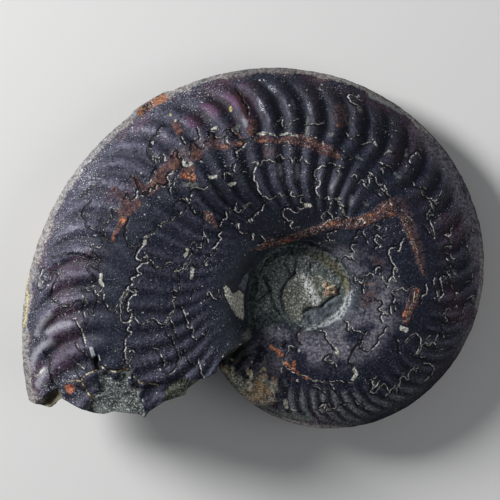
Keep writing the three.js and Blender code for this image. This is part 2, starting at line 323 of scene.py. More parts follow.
PALE_SPOTS = [
    (3.2, [(400, 327), (404, 329)]), (1.8, (299, 350)), (2.1, [(335, 348), (336.5, 352)]),
    (1.8, (297, 379)), (2.7, [(285, 400), (286, 406)]), (1.1, [(291, 409), (296, 410)]),
    (1.6, (315, 380)),
    (1.9, (252, 361.5)), (1.6, [(274, 391), (274, 396)]), (1.9, [(250, 369), (251, 378)]),
    (2.1, [(340, 207), (341, 210)]), (1.9, [(341, 213), (342, 216)]), (1.6, [(333, 200), (338, 200)]),
    (2.4, [(304, 206), (309, 206)]), (1.8, (387, 153)), (1.6, [(373, 144), (375, 147)]),
    (2.1, [(184, 164), (188, 168)]), (1.8, (192, 165)), (1.3, [(188, 200), (190, 204)]),
    (1.4, (143, 175)), (1.4, [(173, 173), (172, 176)]), (1.3, [(196, 140), (196, 142)]),
    (1.6, [(213, 131), (217, 129)]), (1.8, [(211, 179), (217, 178)]), (1.6, (176, 122)),
    (2.4, [(231, 186), (235, 185)]), (1.6, [(245, 208), (248, 205)]), (1.4, (247, 64)),
    (1.0, (174, 221)), (1.6, [(433, 202), (435, 203)]), (1.1, (400.5, 230)), (1.1, (393, 267)),
    (1.3, [(395, 269), (395, 271)]), (1.3, [(385, 282), (386, 284)]), (1.1, (471, 271)),
    (1.4, [(428, 205), (429, 207)]), (1.3, (429, 225)), (1.2, (433, 223)), (1.4, (437, 300)),
    (1.0, (405, 341)), (1.9, [(353, 367), (355, 373), (352, 378)]), (1.0, (381, 321)),
    (1.5, [(258, 136), (265, 135)]), (1.4, [(270, 136), (275, 138)]), (1.4, [(280, 137), (287, 135)]),
    (1.3, [(291, 136), (297, 138)]), (1.2, (303, 150)), (1.2, [(311, 138), (315, 140)]),
    (1.0, (375, 134)), (1.0, (391, 124)), (1.1, (381, 172)), (1.3, [(340, 168), (338, 168)]),
    (1.2, [(329, 241), (333, 241)]), (1.3, (314, 187)), (1.1, [(250, 222), (252, 222)]),
    (1.4, [(322, 144), (322, 146)]), (1.0, (116, 210)), (1.0, (105.5, 228)),
    (2.0, [(104, 274), (103.5, 281), (106, 284)]), (1.8, [(86, 292), (89, 303)]),
    (2.2, [(148.5, 237), (146.5, 244)]), (1.5, [(153, 234), (151, 238)]),
    (1.9, [(130, 290), (124, 299)]), (1.2, [(149, 255), (150.5, 261)]),
    (1.5, [(134, 309), (133, 316)]), (1.3, [(157, 266), (163, 268)]),
    (1.8, [(188, 264), (186, 268)]), (2.2, [(194, 268), (193, 277)]),
    (1.9, [(188.5, 250), (187, 256)]), (1.5, [(177, 270.5), (182, 271)]),
    (2.2, (149, 320)), (1.8, [(176, 309), (171, 316), (168, 321)]), (1.0, [(63, 305.5), (72, 306)]),
    (1.3, [(85, 331), (88, 339)]), (1.2, [(44, 281), (46, 284)]), (1.0, [(38.5, 281), (40, 288)]),
    (0.9, [(54, 225), (56, 221)]), (1.5, [(184, 309), (186, 312)]), (1.2, [(165, 356), (167, 360)]),
    (0.6, [(116, 347.5), (119, 345), (122, 345.5), (121, 348), (119.5, 350), (116.5, 348.5)]),
    (1.6, [(36, 376), (41, 373), (45, 368)]), (1.6, [(207, 262), (208, 264)]),
]
GREY_PATCHES = [
    (1.6, [(405, 151), (403.5, 157)]), (2.0, [(383, 155), (391, 154)]), (2.4, [(356, 158), (361, 162)]),
    (2.0, [(392, 174), (398, 178)]), (2.0, [(218, 192), (223, 197)]), (1.4, [(458, 319), (474, 309)]),
    (1.6, [(414, 354), (418, 356)]), (1.4, [(451, 270), (454, 275)]), (1.8, [(436, 215), (438, 218)]),
    (1.4, [(432, 231), (432, 238)]), (2.0, [(361, 203), (366, 206)]), (2.4, [(357, 108), (360, 112)]),
    (2.6, [(307, 120), (306, 137)]), (3.0, [(184, 185), (197, 187)]), (1.6, [(424, 343), (430, 344)]),
    (1.6, [(319, 125), (322, 125)]), (5.0, [(247, 334), (257, 324), (268, 324)]),
    (2.4, [(327, 137), (331, 136)]), (3.0, [(238, 128), (236, 131)]),
    (3.4, [(236, 387), (258, 403), (282, 414), (306, 419)]), (2.4, [(228, 366), (238, 370)]),
    (2.0, [(283, 378), (286, 384)]),
]
SHINY_SPOTS = [
    (3.0, [(308, 105), (311, 114)]), (2.6, [(260, 104), (263, 113)]), (2.4, [(349.5, 197), (349, 205)]),
    (2.2, [(331, 188), (331, 192)]), (3.0, [(270, 88), (274, 92)]),
]
YELLOW_SPOTS = [(1.9, (171, 116)), (1.3, (175, 118)), (1.9, [(231, 109), (231, 112)])]

# What both flanks bear, remnants and tints and painted light and shade: (outlines, lines with half
# widths)
FLANK_MARKS_AND_PAINTED_LIGHT = {
    "rust": (RUST_PATCHES, [ORANGE_STREAK]),
    "haze": (BROWN_HAZE, []),
    "orange": ([], ORANGE_SPOTS + [ORANGE_STREAK]),
    "pale": ([PALE_PATCH], PALE_SPOTS),
    "blue": ([BLUE_PATCH], []),
    "grey": ([], GREY_PATCHES),
    "shiny": ([], SHINY_SPOTS),
    "crust": ([BOTTOM_CRUST], []),
    "cream": (CREAM_FLAKES, [(CRUST_LINE_WIDTH, line) for line in CRUST_LINES]),
    "painted_highlight": ([], PAINTED_HIGHLIGHTS),
    "rib_light": ([RIB_LIGHT_FIELD], []),
    "red": ([], [RED_FURROW]),
    "yellow": ([], [YELLOW_EDGE] + YELLOW_SPOTS),
    "film": ([], [KEEL_FILM]),
    "mauve": ([], [MAUVE_RIBS]),
    "lilac": (LILAC_FIELDS, []),
    "hollow_shade": ([SHADED_HOLLOW_OUTLINE], []),
    "field_shade": (SHADE_FIELDS, []),
}
# What only the upper flank bears, with a painted highlight on the umbilical rim and painted shade in a
# pit: outlines, and (reach in millimetres, lines)
UPPER_OUTLINES = {
    "centre": [BOWL_CENTRE],
    "slate": [SLATE_CRESCENT],
    "rim": [RIM_HIGHLIGHT],
    "wedge": [VENTER_WEDGE],
    "green": [GREEN_BLOCK],
    "shard": PALE_SHARDS,
    "chip": [ORANGE_CHIP],
}
BOWL_SEAMS = [SEDIMENT_EDGE_GROOVE, INNER_WHORL_GROOVE, CENTRE_EDGE_GROOVE] + SEDIMENT_CRACKS
UPPER_LINES = {
    "ridge": (1.3, [CENTRE_RIDGE]),
    "bowl_groove": (0.8, BOWL_SEAMS),
    "crystal": (0.8, CRYSTALS),
    "pit": (1.0, [SHADED_PIT]),
    "crack": (1.0, BREAK_CRACKS),
}

# Sutures: (how pale their filling is, line in photograph pixels)
SUTURES = [
    (0.35, [
        (36, 262), (37.5, 269), (36.5, 274), (39, 280), (39, 286), (42, 290), (46, 287.5),
        (46.5, 282), (50, 281.5), (53, 278), (54, 273), (57, 271), (61, 273), (60.5, 278),
        (58, 281.5), (57, 285), (55, 289), (54, 295), (56, 300), (60, 300.5), (63, 304.5),
        (68, 306), (74, 305), (76.5, 301), (80, 299.5), (84, 300), (87, 296), (85.5, 291),
        (85, 287), (88, 286.5), (91, 289.5), (95, 288), (96, 284), (98, 280), (96, 275.5),
        (92.5, 271), (90.5, 267), (92, 263.5), (96, 265.5), (99, 267.5), (102, 265),
        (102.5, 261), (99.5, 257.5), (96, 252.5), (94.2, 247.5), (95, 243), (97.5, 246),
        (101, 248.5), (104.8, 246), (105.3, 241), (103, 236), (103.3, 231), (105, 228),
        (109.5, 225), (111.5, 221), (114, 217), (113.5, 213), (116, 210), (118, 213),
    ]),
    (0.2, [(105, 230), (107, 235.5), (111, 240), (114, 242)]),
    (0.1, [
        (93, 203), (88.5, 208), (84.5, 213), (86, 217.5), (90.5, 218.5), (88.5, 221),
        (89.5, 225.5), (93, 228.5), (98, 229), (101.5, 226), (102, 221), (104.5, 219.5),
        (106, 224), (105, 228),
    ]),
    (0.6, [
        (95, 285), (97.5, 289), (99.5, 293.5), (101.5, 294), (103, 290), (105, 287.5),
        (106, 293), (107, 299), (110, 304), (113, 309), (116.5, 310), (120, 307),
        (122.5, 301.5), (126, 295), (130, 289),
    ]),
    (0.2, [(101, 295), (100.5, 301), (99, 308), (97.5, 313.5), (94.5, 314), (92, 310), (88, 300)]),
    (0.2, [(88, 304), (87, 309), (88, 315), (88.5, 321), (90, 323.5), (91, 320)]),
    (0.9, [(76.5, 318), (78.5, 317), (80, 321.5), (82.5, 326), (85, 330), (86, 334), (89, 343)]),
    (0.6, [(79, 342), (82, 346), (85.5, 349.5), (89, 352), (91.5, 356.5)]),
    (0.1, [(91.5, 356.5), (90, 359.5), (92, 363), (90, 367)]),
    (0.9, [(80, 362), (84, 365), (88, 367.5)]),
    (0.2, [(78, 364), (80, 369), (83, 372), (84.5, 376)]),
    (0.2, [
        (131, 221), (129, 228), (128, 235), (129.5, 241), (132, 245.5), (136, 246.5),
        (140, 244.5), (144, 241), (147, 238), (151, 238), (152, 233.5),
    ]),
    (0.5, [
        (152, 233.5), (157, 231), (158, 228), (160, 226), (162.5, 228), (164, 224.5),
        (168, 222.5), (171, 221), (174.5, 221), (178, 218), (182, 215), (185, 212.5), (187, 209),
    ]),
    (0.2, [
        (181, 214.5), (177.5, 213.5), (175, 210), (175.5, 206.5), (178, 203), (181, 201),
        (185, 200), (189, 203), (192, 206), (194, 211), (197, 214.5), (201, 213), (206, 216),
    ]),
    (0.9, [
        (146, 243), (144.5, 247), (141, 251), (138.5, 256), (140, 260), (143, 261), (148, 257),
        (149.5, 261), (145, 263.5), (142, 266), (139, 269), (140, 272), (143, 272), (139, 275),
        (134, 279), (135, 283), (131, 286), (131, 289), (134, 291.5), (137, 293), (138.5, 289),
        (138.5, 293.5), (134, 295), (131, 298.5), (131, 304), (130, 308), (133, 312),
        (133, 316), (130, 320), (126, 320.5), (124, 316.5), (124.5, 311), (127, 306), (125, 301),
    ]),
    (0.6, [
        (133, 312), (136, 310), (137.5, 316), (140, 320), (143, 323.5), (146, 322.5),
        (149, 320), (152, 322), (155, 316), (158, 318), (161, 321), (165, 323.5), (168.5, 321),
        (170, 317), (173, 313), (176, 309.5), (177, 304), (174, 300), (178, 297.5), (175, 294),
        (173.5, 289), (176, 290), (180, 291), (181, 286), (180, 281), (181, 276), (178, 271),
        (182, 270), (186, 267), (189, 263), (191, 259), (193, 254), (192, 248), (195, 242.5),
        (198, 247), (201.5, 248), (203.5, 242), (206, 236), (208, 239),
    ]),
    (0.5, [(150, 258), (154, 262), (158, 266.5), (162, 268), (166, 266), (168.5, 262.5), (173, 263)]),
    (0.9, [
        (134, 319), (132, 323), (129, 328.5), (133.5, 330), (131, 335), (128, 341), (129, 345),
        (127.5, 349), (128, 354), (129, 359), (132, 363),
    ]),
    (0.6, [(132, 362), (135, 356.5), (138, 353), (138, 349.5), (135, 347.5), (131, 351)]),
    (0.4, [(172, 318), (175, 323), (176, 328), (179, 334)]),
    (0.3, [
        (169, 331), (172, 335), (175, 339), (178, 344), (179.5, 350), (181, 356), (179, 363),
        (175, 368), (170, 371), (166, 368), (164, 363),
    ]),
    (0.6, [(156, 346), (160, 348.5), (163, 353), (167, 360)]),
    (0.7, [(183, 306), (186, 311), (187.5, 316), (189, 320), (188, 324), (190, 327)]),
    (0.4, [(193, 321), (193.5, 327), (193.5, 334), (198, 338), (203, 336), (207, 332), (208, 327)]),
    (0.5, [(186, 349), (188.5, 354), (192, 360), (196, 363)]),
    (0.8, [(199, 358), (201, 364), (203, 371), (206, 375)]),
    (0.0, [(47, 351), (52, 357), (53, 362), (52, 367), (54, 375), (55, 380), (58, 384)]),
    (0.1, [(55, 257), (60, 255), (66, 253.5), (75, 254), (84, 254.5), (92, 257), (99, 260)]),
    (0.5, [
        (173, 173), (168, 178), (171, 183), (166, 187), (160, 186), (157, 191), (152, 190),
        (150, 196), (143, 196), (140, 191), (137, 199), (133, 201), (129, 195), (127, 199),
    ]),
    (0.6, [(205, 300), (208, 296), (210, 291), (213, 296), (217, 299), (221, 296), (220, 290)]),
    (0.6, [(206, 262), (209, 258), (213, 254), (217, 250)]),
    (0.5, [(193, 298), (193, 293), (196, 290)]),
    (0.2, [
        (166, 128), (160, 130), (158.5, 133), (160, 136), (156, 138), (153.5, 141), (152, 144),
        (153, 147), (150, 149), (149.5, 153), (151, 157), (154, 161), (158, 164), (158, 169),
        (156, 172), (154, 175), (153, 179), (151.5, 182),
    ]),
    (0.5, [(154, 142), (154, 147), (152, 152), (155, 158), (158, 160), (161, 160)]),
    (0.5, [(162, 164), (161, 158), (163.5, 156), (166, 159), (165, 163), (168, 162)]),
    (0.4, [(172, 158), (174, 154), (177, 151), (179.5, 153), (179.5, 158), (182, 160), (186, 158)]),
    (0.6, [(183, 163), (184, 167), (188, 168)]),
    (0.2, [(133, 177), (137, 180), (140, 186), (144, 192), (148, 194)]),
    (0.4, [(176, 181), (175, 186), (172, 190), (172.5, 195)]),
    (0.8, [(183, 139), (186, 145)]),
    (0.8, [(199, 130), (200, 136), (201, 140)]),
    (0.3, [
        (190, 158), (192, 150), (193, 144), (196, 142), (198, 147), (202, 150), (205, 148),
        (206.5, 143), (209, 141), (210, 136), (212, 132.5), (214.5, 133), (216, 139), (219, 140),
        (223, 137), (227, 132.5), (232, 129),
    ]),
    (0.6, [(229, 136), (226.5, 140), (227, 144), (230, 146)]),
    (0.2, [(232, 129), (234, 134), (238, 138), (242, 141), (246, 142), (250, 141), (255, 136)]),
    (0.9, [(245, 146), (243, 149), (238, 152), (236, 154), (237, 158)]),
    (0.4, [(235, 167), (233, 170), (236, 173.5), (238, 175)]),
    (0.8, [(238, 175), (241, 174), (245, 173)]),
    (0.8, [(227, 174), (231, 176)]),
    (0.7, [(225, 176), (224, 180)]),
    (1.0, [
        (253, 165), (257, 163), (257, 166), (254, 171), (253.5, 176), (253, 180), (256, 184),
        (257, 189), (259, 194), (262, 197), (266, 198), (269, 200), (273, 199), (277, 197),
        (279, 194.5), (281, 198), (284, 195), (287, 192.5), (291, 191.5),
    ]),
    (0.9, [(290, 192), (289, 196), (291, 198.5), (295, 197.5), (299, 197.5), (302, 196)]),
    (0.8, [(299, 198), (299, 203), (302, 204), (304, 208)]),
    (0.9, [
        (303, 209), (300, 209), (297, 208), (296, 213), (292, 211), (288, 209.5), (284, 209),
        (282, 212), (282.5, 216), (285, 219), (288, 222), (291, 222), (289, 226), (290, 229),
    ]),
    (0.7, [(292, 229), (297, 228)]),
    (0.9, [(260, 167), (262, 163), (265, 162), (269, 162), (273, 163.5)]),
    (0.9, [(278, 164), (275.5, 160), (279, 157), (282, 160), (286, 159), (290, 161), (291, 164)]),
    (0.7, [(293, 163), (295, 160), (298, 163), (301, 158), (304, 163), (308, 166)]),
    (0.7, [
        (274, 130), (276, 126), (279, 123), (281.5, 119), (281, 124), (283, 129), (286, 130),
        (289, 127), (291, 125), (295, 122), (297, 121),
    ]),
    (0.1, [(236, 87), (238, 92), (241, 97), (244, 103), (248, 109), (249.5, 116)]),
    (0.7, [(305, 126), (310, 126), (316, 127), (322, 124.5)]),
    (0.8, [(236, 205), (235, 209), (236, 213), (239, 214), (242, 210), (245, 207), (249, 204)]),
    (0.6, [(230, 213), (231, 210), (234, 208), (236, 206)]),
    (0.8, [(263, 207), (261, 211)]),
    (0.4, [(261, 211), (257, 213), (254, 217), (250, 219), (248, 221)]),
    (0.9, [(248, 223), (252, 222)]),
    (0.9, [
        (237, 226), (239, 224), (238, 228), (240, 233), (244, 234), (247, 235), (250, 232),
        (252, 234), (253, 239),
    ]),
    (0.7, [(261, 236), (265, 240), (262, 243), (258, 245)]),
    (0.8, [(226, 214), (228, 217), (226, 219), (223, 221), (221, 225)]),
    (0.7, [(205, 233), (206, 236), (208, 239), (210, 242)]),
    (0.8, [(221, 233), (219, 236), (221, 238), (219, 241), (217, 244), (214, 248)]),
    (0.7, [(193, 191), (198, 189), (203, 191), (207, 190), (210, 187)]),
    (0.3, [(193, 192), (192, 198), (191, 203)]),
    (0.8, [
        (360, 101), (358, 99), (354, 96), (351, 95), (348, 96), (347, 99), (349, 102),
        (352, 105), (356, 107),
    ]),
    (0.5, [(356, 94), (359, 98)]),
    (0.4, [(345, 135), (347, 139), (350, 141), (352, 139), (357, 138), (360, 136)]),
    (0.5, [(340, 150), (345, 155), (350, 160), (344, 162), (340, 160)]),
    (0.8, [(361, 146), (365, 144.5), (369, 144), (372, 141)]),
    (0.8, [(382, 156), (385, 154), (390, 154), (393, 154)]),
    (0.8, [(378, 164), (382, 167), (387, 167), (389, 170)]),
    (0.9, [(378, 172), (380, 170), (381, 173)]),
    (0.7, [(418, 156), (416, 152), (413, 155), (410, 156), (408, 163), (410, 168), (411, 172)]),
    (1.0, [
        (320, 168), (317, 169), (314, 173), (313, 178), (315, 181), (318, 183), (317, 187),
        (314, 187), (315, 191), (316, 194), (318, 197),
    ]),
    (0.7, [(320, 168), (325, 167), (328, 165), (332, 166), (335, 170), (337, 173)]),
    (0.9, [(334, 171), (338, 168), (342, 170)]),
    (0.9, [(323, 200), (326, 198), (328, 200), (332, 200), (336, 201), (339, 200)]),
    (0.7, [(336, 201), (337, 205), (340, 207), (346, 207)]),
    (0.8, [(341, 208), (341, 213), (342, 216), (347, 218)]),
    (0.8, [(321, 219), (322, 215), (324, 213), (328, 214), (331, 218)]),
    (0.6, [(329, 204), (329, 208)]),
    (0.8, [(350, 178), (353, 176), (355, 179)]),
    (0.9, [(357, 185), (360, 182), (363, 188)]),
    (0.8, [(366, 179), (368, 183)]),
    (0.9, [(368, 174), (371, 177), (374, 182), (377, 187), (380, 190), (383, 193), (387, 197)]),
    (0.5, [(373, 192), (376, 194), (378, 197)]),
    (0.6, [(381, 185), (383, 189), (385, 191)]),
    (0.7, [(411, 184), (413, 187), (417, 188), (422, 188), (425, 191)]),
    (0.8, [(419, 193), (420, 196), (423, 198), (427, 200)]),
    (1.0, [(427, 199), (430, 201), (433, 202), (436, 200), (438, 196), (440, 193)]),
    (0.9, [(433, 202), (435, 206)]),
    (0.8, [(428, 204), (429, 207), (431, 211)]),
    (0.7, [(427, 211), (425, 215), (425, 219)]),
    (0.6, [(428, 215), (432, 216), (437, 216)]),
    (0.8, [(428, 222), (429, 226), (430, 230), (431, 233), (432, 238)]),
    (0.4, [(422, 225), (425, 230), (427, 234)]),
    (0.5, [(451, 226), (448, 231), (448, 235), (445, 237), (443, 235)]),
    (0.6, [(443, 235), (446, 238), (448, 242), (450, 245), (446, 246), (443, 246), (441, 250)]),
    (0.9, [(446, 253), (449, 255), (450, 258), (453, 259)]),
    (0.7, [(451, 259), (444, 258), (447, 262), (449, 268)]),
    (0.8, [(446, 273), (448, 278), (449, 282), (450, 287)]),
    (0.8, [(445, 281), (443, 277), (439, 276.5), (438, 281), (439, 286), (440, 294), (438, 297)]),
    (0.8, [(472, 273), (470, 278), (466, 281)]),
    (0.5, [(471, 229), (473, 232)]),
    (0.5, [(465, 246), (468, 250)]),
    (0.9, [
        (401, 240), (399, 243), (398, 248), (396, 250), (393, 247), (391, 246.5), (388, 249),
        (387, 254), (388, 258), (390, 261), (393, 267),
    ]),
    (0.9, [
        (393, 267), (391, 272), (392, 276), (393, 281), (390, 276), (387, 281), (386, 286),
        (384, 282), (382, 277),
    ]),
    (1.0, [(379, 277), (379, 272), (379.5, 269), (377, 267), (375, 268), (373, 271)]),
    (1.0, [(365, 276), (367, 274), (370, 274), (371, 276)]),
    (0.9, [(353, 278), (354, 282), (357, 280), (360, 284), (362, 280)]),
    (0.5, [(362, 284), (362, 292)]),
    (0.8, [
        (365, 301), (370, 300), (375, 299), (379, 299), (381, 301), (381, 304), (379, 307),
        (378, 309), (381, 311), (380, 315), (379, 318), (381, 321),
    ]),
    (0.8, [(390, 291), (394, 290), (397, 289), (400, 287), (402, 289), (404, 291)]),
    (0.9, [(406, 289), (409, 287), (412, 286)]),
    (0.5, [(391, 293), (393, 298), (392, 301), (393, 305), (394, 310)]),
    (0.6, [(389, 305), (389, 310), (388, 315)]),
    (0.7, [(383, 311), (386, 314)]),
    (1.0, [(424, 285), (424, 290), (424, 294), (421, 295), (419, 298), (419, 302)]),
    (0.8, [(431, 279), (432, 284)]),
    (0.9, [(434, 291), (435, 296)]),
    (0.8, [(446, 307), (443, 308), (443, 311), (441, 313)]),
    (0.7, [(441, 319), (444, 322), (446, 320), (444, 316)]),
    (0.6, [(441, 326), (441, 332), (442, 338)]),
    (0.4, [(460, 292), (457, 292), (455, 291), (454, 296), (451, 299)]),
    (0.5, [(467, 299), (471, 296), (473, 293)]),
    (0.5, [(473, 297), (471, 301), (474, 303)]),
    (0.4, [(463, 304), (461, 309), (460, 313)]),
    (0.9, [
        (404, 341), (407, 336), (411, 333), (414, 332), (417, 335), (418.5, 341), (417, 345),
        (416, 350),
    ]),
    (1.0, [(414, 354), (417, 353), (420, 349), (421, 344), (424, 341), (426, 338), (428, 335)]),
    (1.0, [(424, 343), (428, 346), (431, 342), (434, 345), (435, 348)]),
    (0.8, [(432, 342), (435, 338), (437, 334)]),
    (0.9, [(419, 357), (424, 357)]),
    (0.1, [(393, 335), (397, 342), (397, 348), (398, 352)]),
    (0.4, [(385, 327), (383, 330), (380, 334), (377, 339), (376, 343), (371, 348)]),
    (0.1, [
        (364, 332), (362, 338), (359, 343), (356, 345), (352, 350), (349, 356), (348, 360),
        (352, 365),
    ]),
    (0.6, [(362, 338), (357, 343), (360, 347), (363, 349), (366, 350)]),
    (0.9, [
        (396, 391), (398, 387), (399.5, 382), (400, 378), (402.5, 376), (404.5, 379), (407, 379),
        (407.5, 374), (409, 370), (413, 366),
    ]),
    (0.7, [
        (415, 370), (418, 366), (421, 363.5), (426, 363), (430, 364), (432, 366), (432, 370),
        (430, 374), (428, 376), (423, 380),
    ]),
    (0.8, [(364, 378.5), (370, 378), (377, 375), (378, 379), (374, 385), (371, 387)]),
    (1.0, [
        (370, 380), (372, 385), (369, 391.5), (373, 392), (376, 389), (379, 386), (383, 383),
        (386, 386), (387, 390), (386, 395), (389, 391), (393, 387), (396, 384),
    ]),
    (0.6, [(331, 355), (328, 355), (325, 356), (323, 359), (330, 360)]),
    (0.6, [(331, 363), (335, 362), (336, 366)]),
    (0.8, [
        (311, 379), (316, 380), (321, 381), (327, 379), (333, 381), (339, 380), (345, 382),
        (351, 381),
    ]),
    (1.0, [(326, 402), (321, 404), (318, 407), (323, 408), (328, 404), (330, 406)]),
    (0.8, [(319, 409), (323, 412)]),
    (0.9, [(328, 410), (333, 408), (338, 404), (340, 401), (344, 405), (347, 402), (350, 401)]),
    (0.6, [(355, 401), (358, 404), (362, 401), (364, 406), (367, 409)]),
    (0.5, [(313, 385), (316, 386), (320, 389), (324, 392)]),
    (0.4, [(330, 384), (332, 387), (336, 390)]),
    (0.4, [(344, 390), (347, 387)]),
    (0.8, [(286, 354), (288, 351), (290, 346), (293, 347), (297, 350)]),
    (0.8, [(320, 330), (325, 332), (326, 337), (328, 341), (331, 344), (334, 349)]),
    (0.9, [(345, 320), (347, 324), (346, 329), (348, 329), (350, 326), (353, 329), (360, 331)]),
    (0.2, [(302, 327), (299, 331), (297, 335), (298, 339), (301, 343)]),
    (0.8, [(312, 247), (316, 246), (321, 243), (325, 242), (329, 241), (333, 241)]),
    (0.7, [(335, 231), (331, 232), (327, 234), (325.5, 236), (327, 239), (329, 241)]),
    (0.6, [(355, 244), (351, 245), (349, 248), (350, 250), (352, 252), (349, 253)]),
    (0.9, [(340, 259), (343, 255.5), (350, 258.5), (349.5, 256), (352.5, 260)]),
    (0.1, [(357, 231), (354, 237), (352, 240)]),
    (0.7, [(361, 232), (363, 236), (365, 243)]),
    (0.9, [(380, 239), (375, 234), (372, 240), (378, 246), (374, 248)]),
    (0.8, [(374, 226), (378, 228), (374, 229)]),
    (0.5, [(82, 196), (84, 193), (87, 194)]),
    (0.6, [(90, 190), (94, 187), (98, 186), (101, 183)]),
    (0.8, [(44, 269), (42, 274), (39, 279)]),
]

SEAM_SHARE = OVERLAP_SHARE / WHORL_EXPANSION
GROWTH = math.log(WHORL_EXPANSION) / (2 * math.pi)
START_ANGLE = MOUTH_ANGLE - 360.0


def keel_radius(angle):
    """Distance of the keel from the coil's axis: a log spiral."""
    return KEEL_RADIUS * np.exp(GROWTH * np.radians(angle))


def on_last_whorl(angle):
    """The same direction as an angle within the last whorl."""
    return START_ANGLE + (angle - START_ANGLE) % 360


def polar(angle, radius):
    """Places at an angle and a distance from the coil's axis."""
    turned = np.radians(angle)
    return radius * np.cos(turned), radius * np.sin(turned)


def along(points, places):
    """Values at some places along a list of (place, value) points, straight between them."""
    at, values = np.array(points, float).T
    return np.interp(places, at, values)


def smooth(values, start, end):
    """0 before start, 1 after end, and an even S between them."""
    t = np.clip((np.asarray(values, float) - start) / (end - start), 0, 1)
    return t * t * (3 - 2 * t)


def band(values, start, full, fading, end):
    """0 before start, 1 from full to fading, and 0 again after end."""
    return smooth(values, start, full) * (1 - smooth(values, fading, end))


def smooth_curve(points, places):
    """Points at some places, from 0 to 1, along a smooth curve through a list of points."""
    points = np.array(points, float)
    steps = np.linalg.norm(np.diff(points, axis=0), axis=1)
    at = np.concatenate([[0], np.cumsum(steps)]) / steps.sum()
    slopes = np.gradient(points, at, axis=0)
    piece = np.clip(np.searchsorted(at, places, side="right") - 1, 0, len(at) - 2)
    length = (at[piece + 1] - at[piece])[:, None]
    t = (np.asarray(places)[:, None] - at[piece][:, None]) / length
    start, end = points[piece], points[piece + 1]
    return (
        (2 * t**3 - 3 * t**2 + 1) * start + (t**3 - 2 * t**2 + t) * length * slopes[piece]
        + (3 * t**2 - 2 * t**3) * end + (t**3 - t**2) * length * slopes[piece + 1]
    )


seam_height = along(SECTION, OVERLAP_SHARE) / WHORL_EXPANSION
section_points = [(SEAM_SHARE, seam_height)] + SECTION
fine_section = smooth_curve(section_points, np.linspace(0, 1, SECTION_STEPS))


def in_photo(points):
    """Photograph pixels as millimetres from the coil's axis, with y up."""
    points = np.array(points, float).reshape(-1, 2)
    return (points - PHOTO_AXIS) * (MM_PER_PIXEL, -MM_PER_PIXEL)


def line_distance(x, y, line):
    """Distance in millimetres from each place to a line given in photograph pixels."""
    ends = in_photo(line)
    if len(ends) == 1:
        return np.hypot(x - ends[0][0], y - ends[0][1])
    nearest = np.full(np.shape(x), np.inf)
    for (x0, y0), (x1, y1) in zip(ends[:-1], ends[1:]):
        dx, dy = x1 - x0, y1 - y0
        t = np.clip(((x - x0) * dx + (y - y0) * dy) / (dx * dx + dy * dy), 0, 1)
        nearest = np.minimum(nearest, np.hypot(x - x0 - t * dx, y - y0 - t * dy))
    return nearest


def depth_inside(x, y, outline):
    """Distance in from a closed outline in photograph pixels; below 0 outside it."""
    corners = in_photo(outline)
    inside = np.zeros(np.shape(x), bool)
    for (x0, y0), (x1, y1) in zip(corners, np.roll(corners, -1, axis=0)):
        spans = (y0 > y) != (y1 > y)
        if y1 != y0:
            inside ^= spans & (x < (x1 - x0) * (y - y0) / (y1 - y0) + x0)
    distance = line_distance(x, y, list(outline) + [outline[0]])
    return np.where(inside, distance, -distance)


def nearest_line(x, y, lines):
    """Distance in millimetres from each place to the nearest of several lines."""
    return np.min([line_distance(x, y, line) for line in lines], axis=0)


def deepest(x, y, outlines, lines=()):
    """Greatest depth inside some outlines and some lines with half widths in pixels."""
    depths = [depth_inside(x, y, outline) for outline in outlines]
    depths += [width * MM_PER_PIXEL - line_distance(x, y, line) for width, line in lines]
    return np.max(depths, axis=0)


def beside(distance, width, steepness=2):
    """1 at distance 0, falling to 0 within about twice the width."""
    return np.exp(-((distance / width) ** steepness))


def lattice_noise(x, y, z, size, seed):
    """Smooth noise from -1 to 1 whose lumps are about as wide as size."""
    places = [np.asarray(axis, float) / size for axis in (x, y, z)]
    boxes = [np.floor(place).astype(np.int64) for place in places]
    parts = [place - box for place, box in zip(places, boxes)]
    fades = [part * part * (3 - 2 * part) for part in parts]
    total = np.zeros(np.shape(places[0]))
    for corner in range(8):
        offsets = (corner & 1, corner >> 1 & 1, corner >> 2 & 1)
        mixed = seed * SEED_FACTOR
        weight = 1.0
        for box, offset, fade, factor in zip(boxes, offsets, fades, AXIS_FACTORS):
            mixed = mixed ^ ((box + offset) * factor)
            weight = weight * (fade if offset else 1 - fade)
        mixed = (mixed ^ (mixed >> 13)) * MIX_FACTOR & 0x7FFFFFFF
        total += weight * ((mixed ^ (mixed >> 16)) % 65536 / 32767.5 - 1)
    return total


def flat_noise(x, y, size, seed):
    """The same noise at one height."""
    return lattice_noise(x, y, 0 * x, size, seed)


def zigzag(places, size, seed):
    """Noise from -1 to 1 along a line, straight between corners about size apart."""
    corners = np.arange(int(places.max() / size) + 2)
    row = 0 * corners + seed
    jitter = 0.35 * flat_noise(corners, row, 1.0, 71)
    return np.interp(places / size, corners + jitter, flat_noise(corners, row, 1.0, 72))


# Ribs
def rib_wave(angle, share):
    """The ribs' own wave, 1 on a crest and -1 in a furrow."""
    return np.cos(2 * np.pi * along(RIB_NUMBERS, angle - along(RIB_LEAD, share)))


def rib_strength(angle, share):
    """Height of the ribs, as a share of the keel radius."""
    outer = OUTER_RIB_HEIGHT * band(share, 0.66, 0.8, 0.9, 0.975)
    outer = outer * (1 - 0.25 * band(angle, 105, 125, 150, 170))
    middle = MIDDLE_RIB_HEIGHT * band(share, 0.55, 0.66, 0.7, 0.82)
    middle = middle * band(angle, 20, 65, 140, 165)
    inner = INNER_RIB_HEIGHT * band(share, 0.3, 0.46, 0.56, 0.68)
    inner = inner * (0.12 * smooth(angle, -30, 20) + 0.88 * smooth(angle, 48, 75))
    inner = inner * (1 - 0.3 * smooth(angle, 140, 165))
    return outer + middle + inner


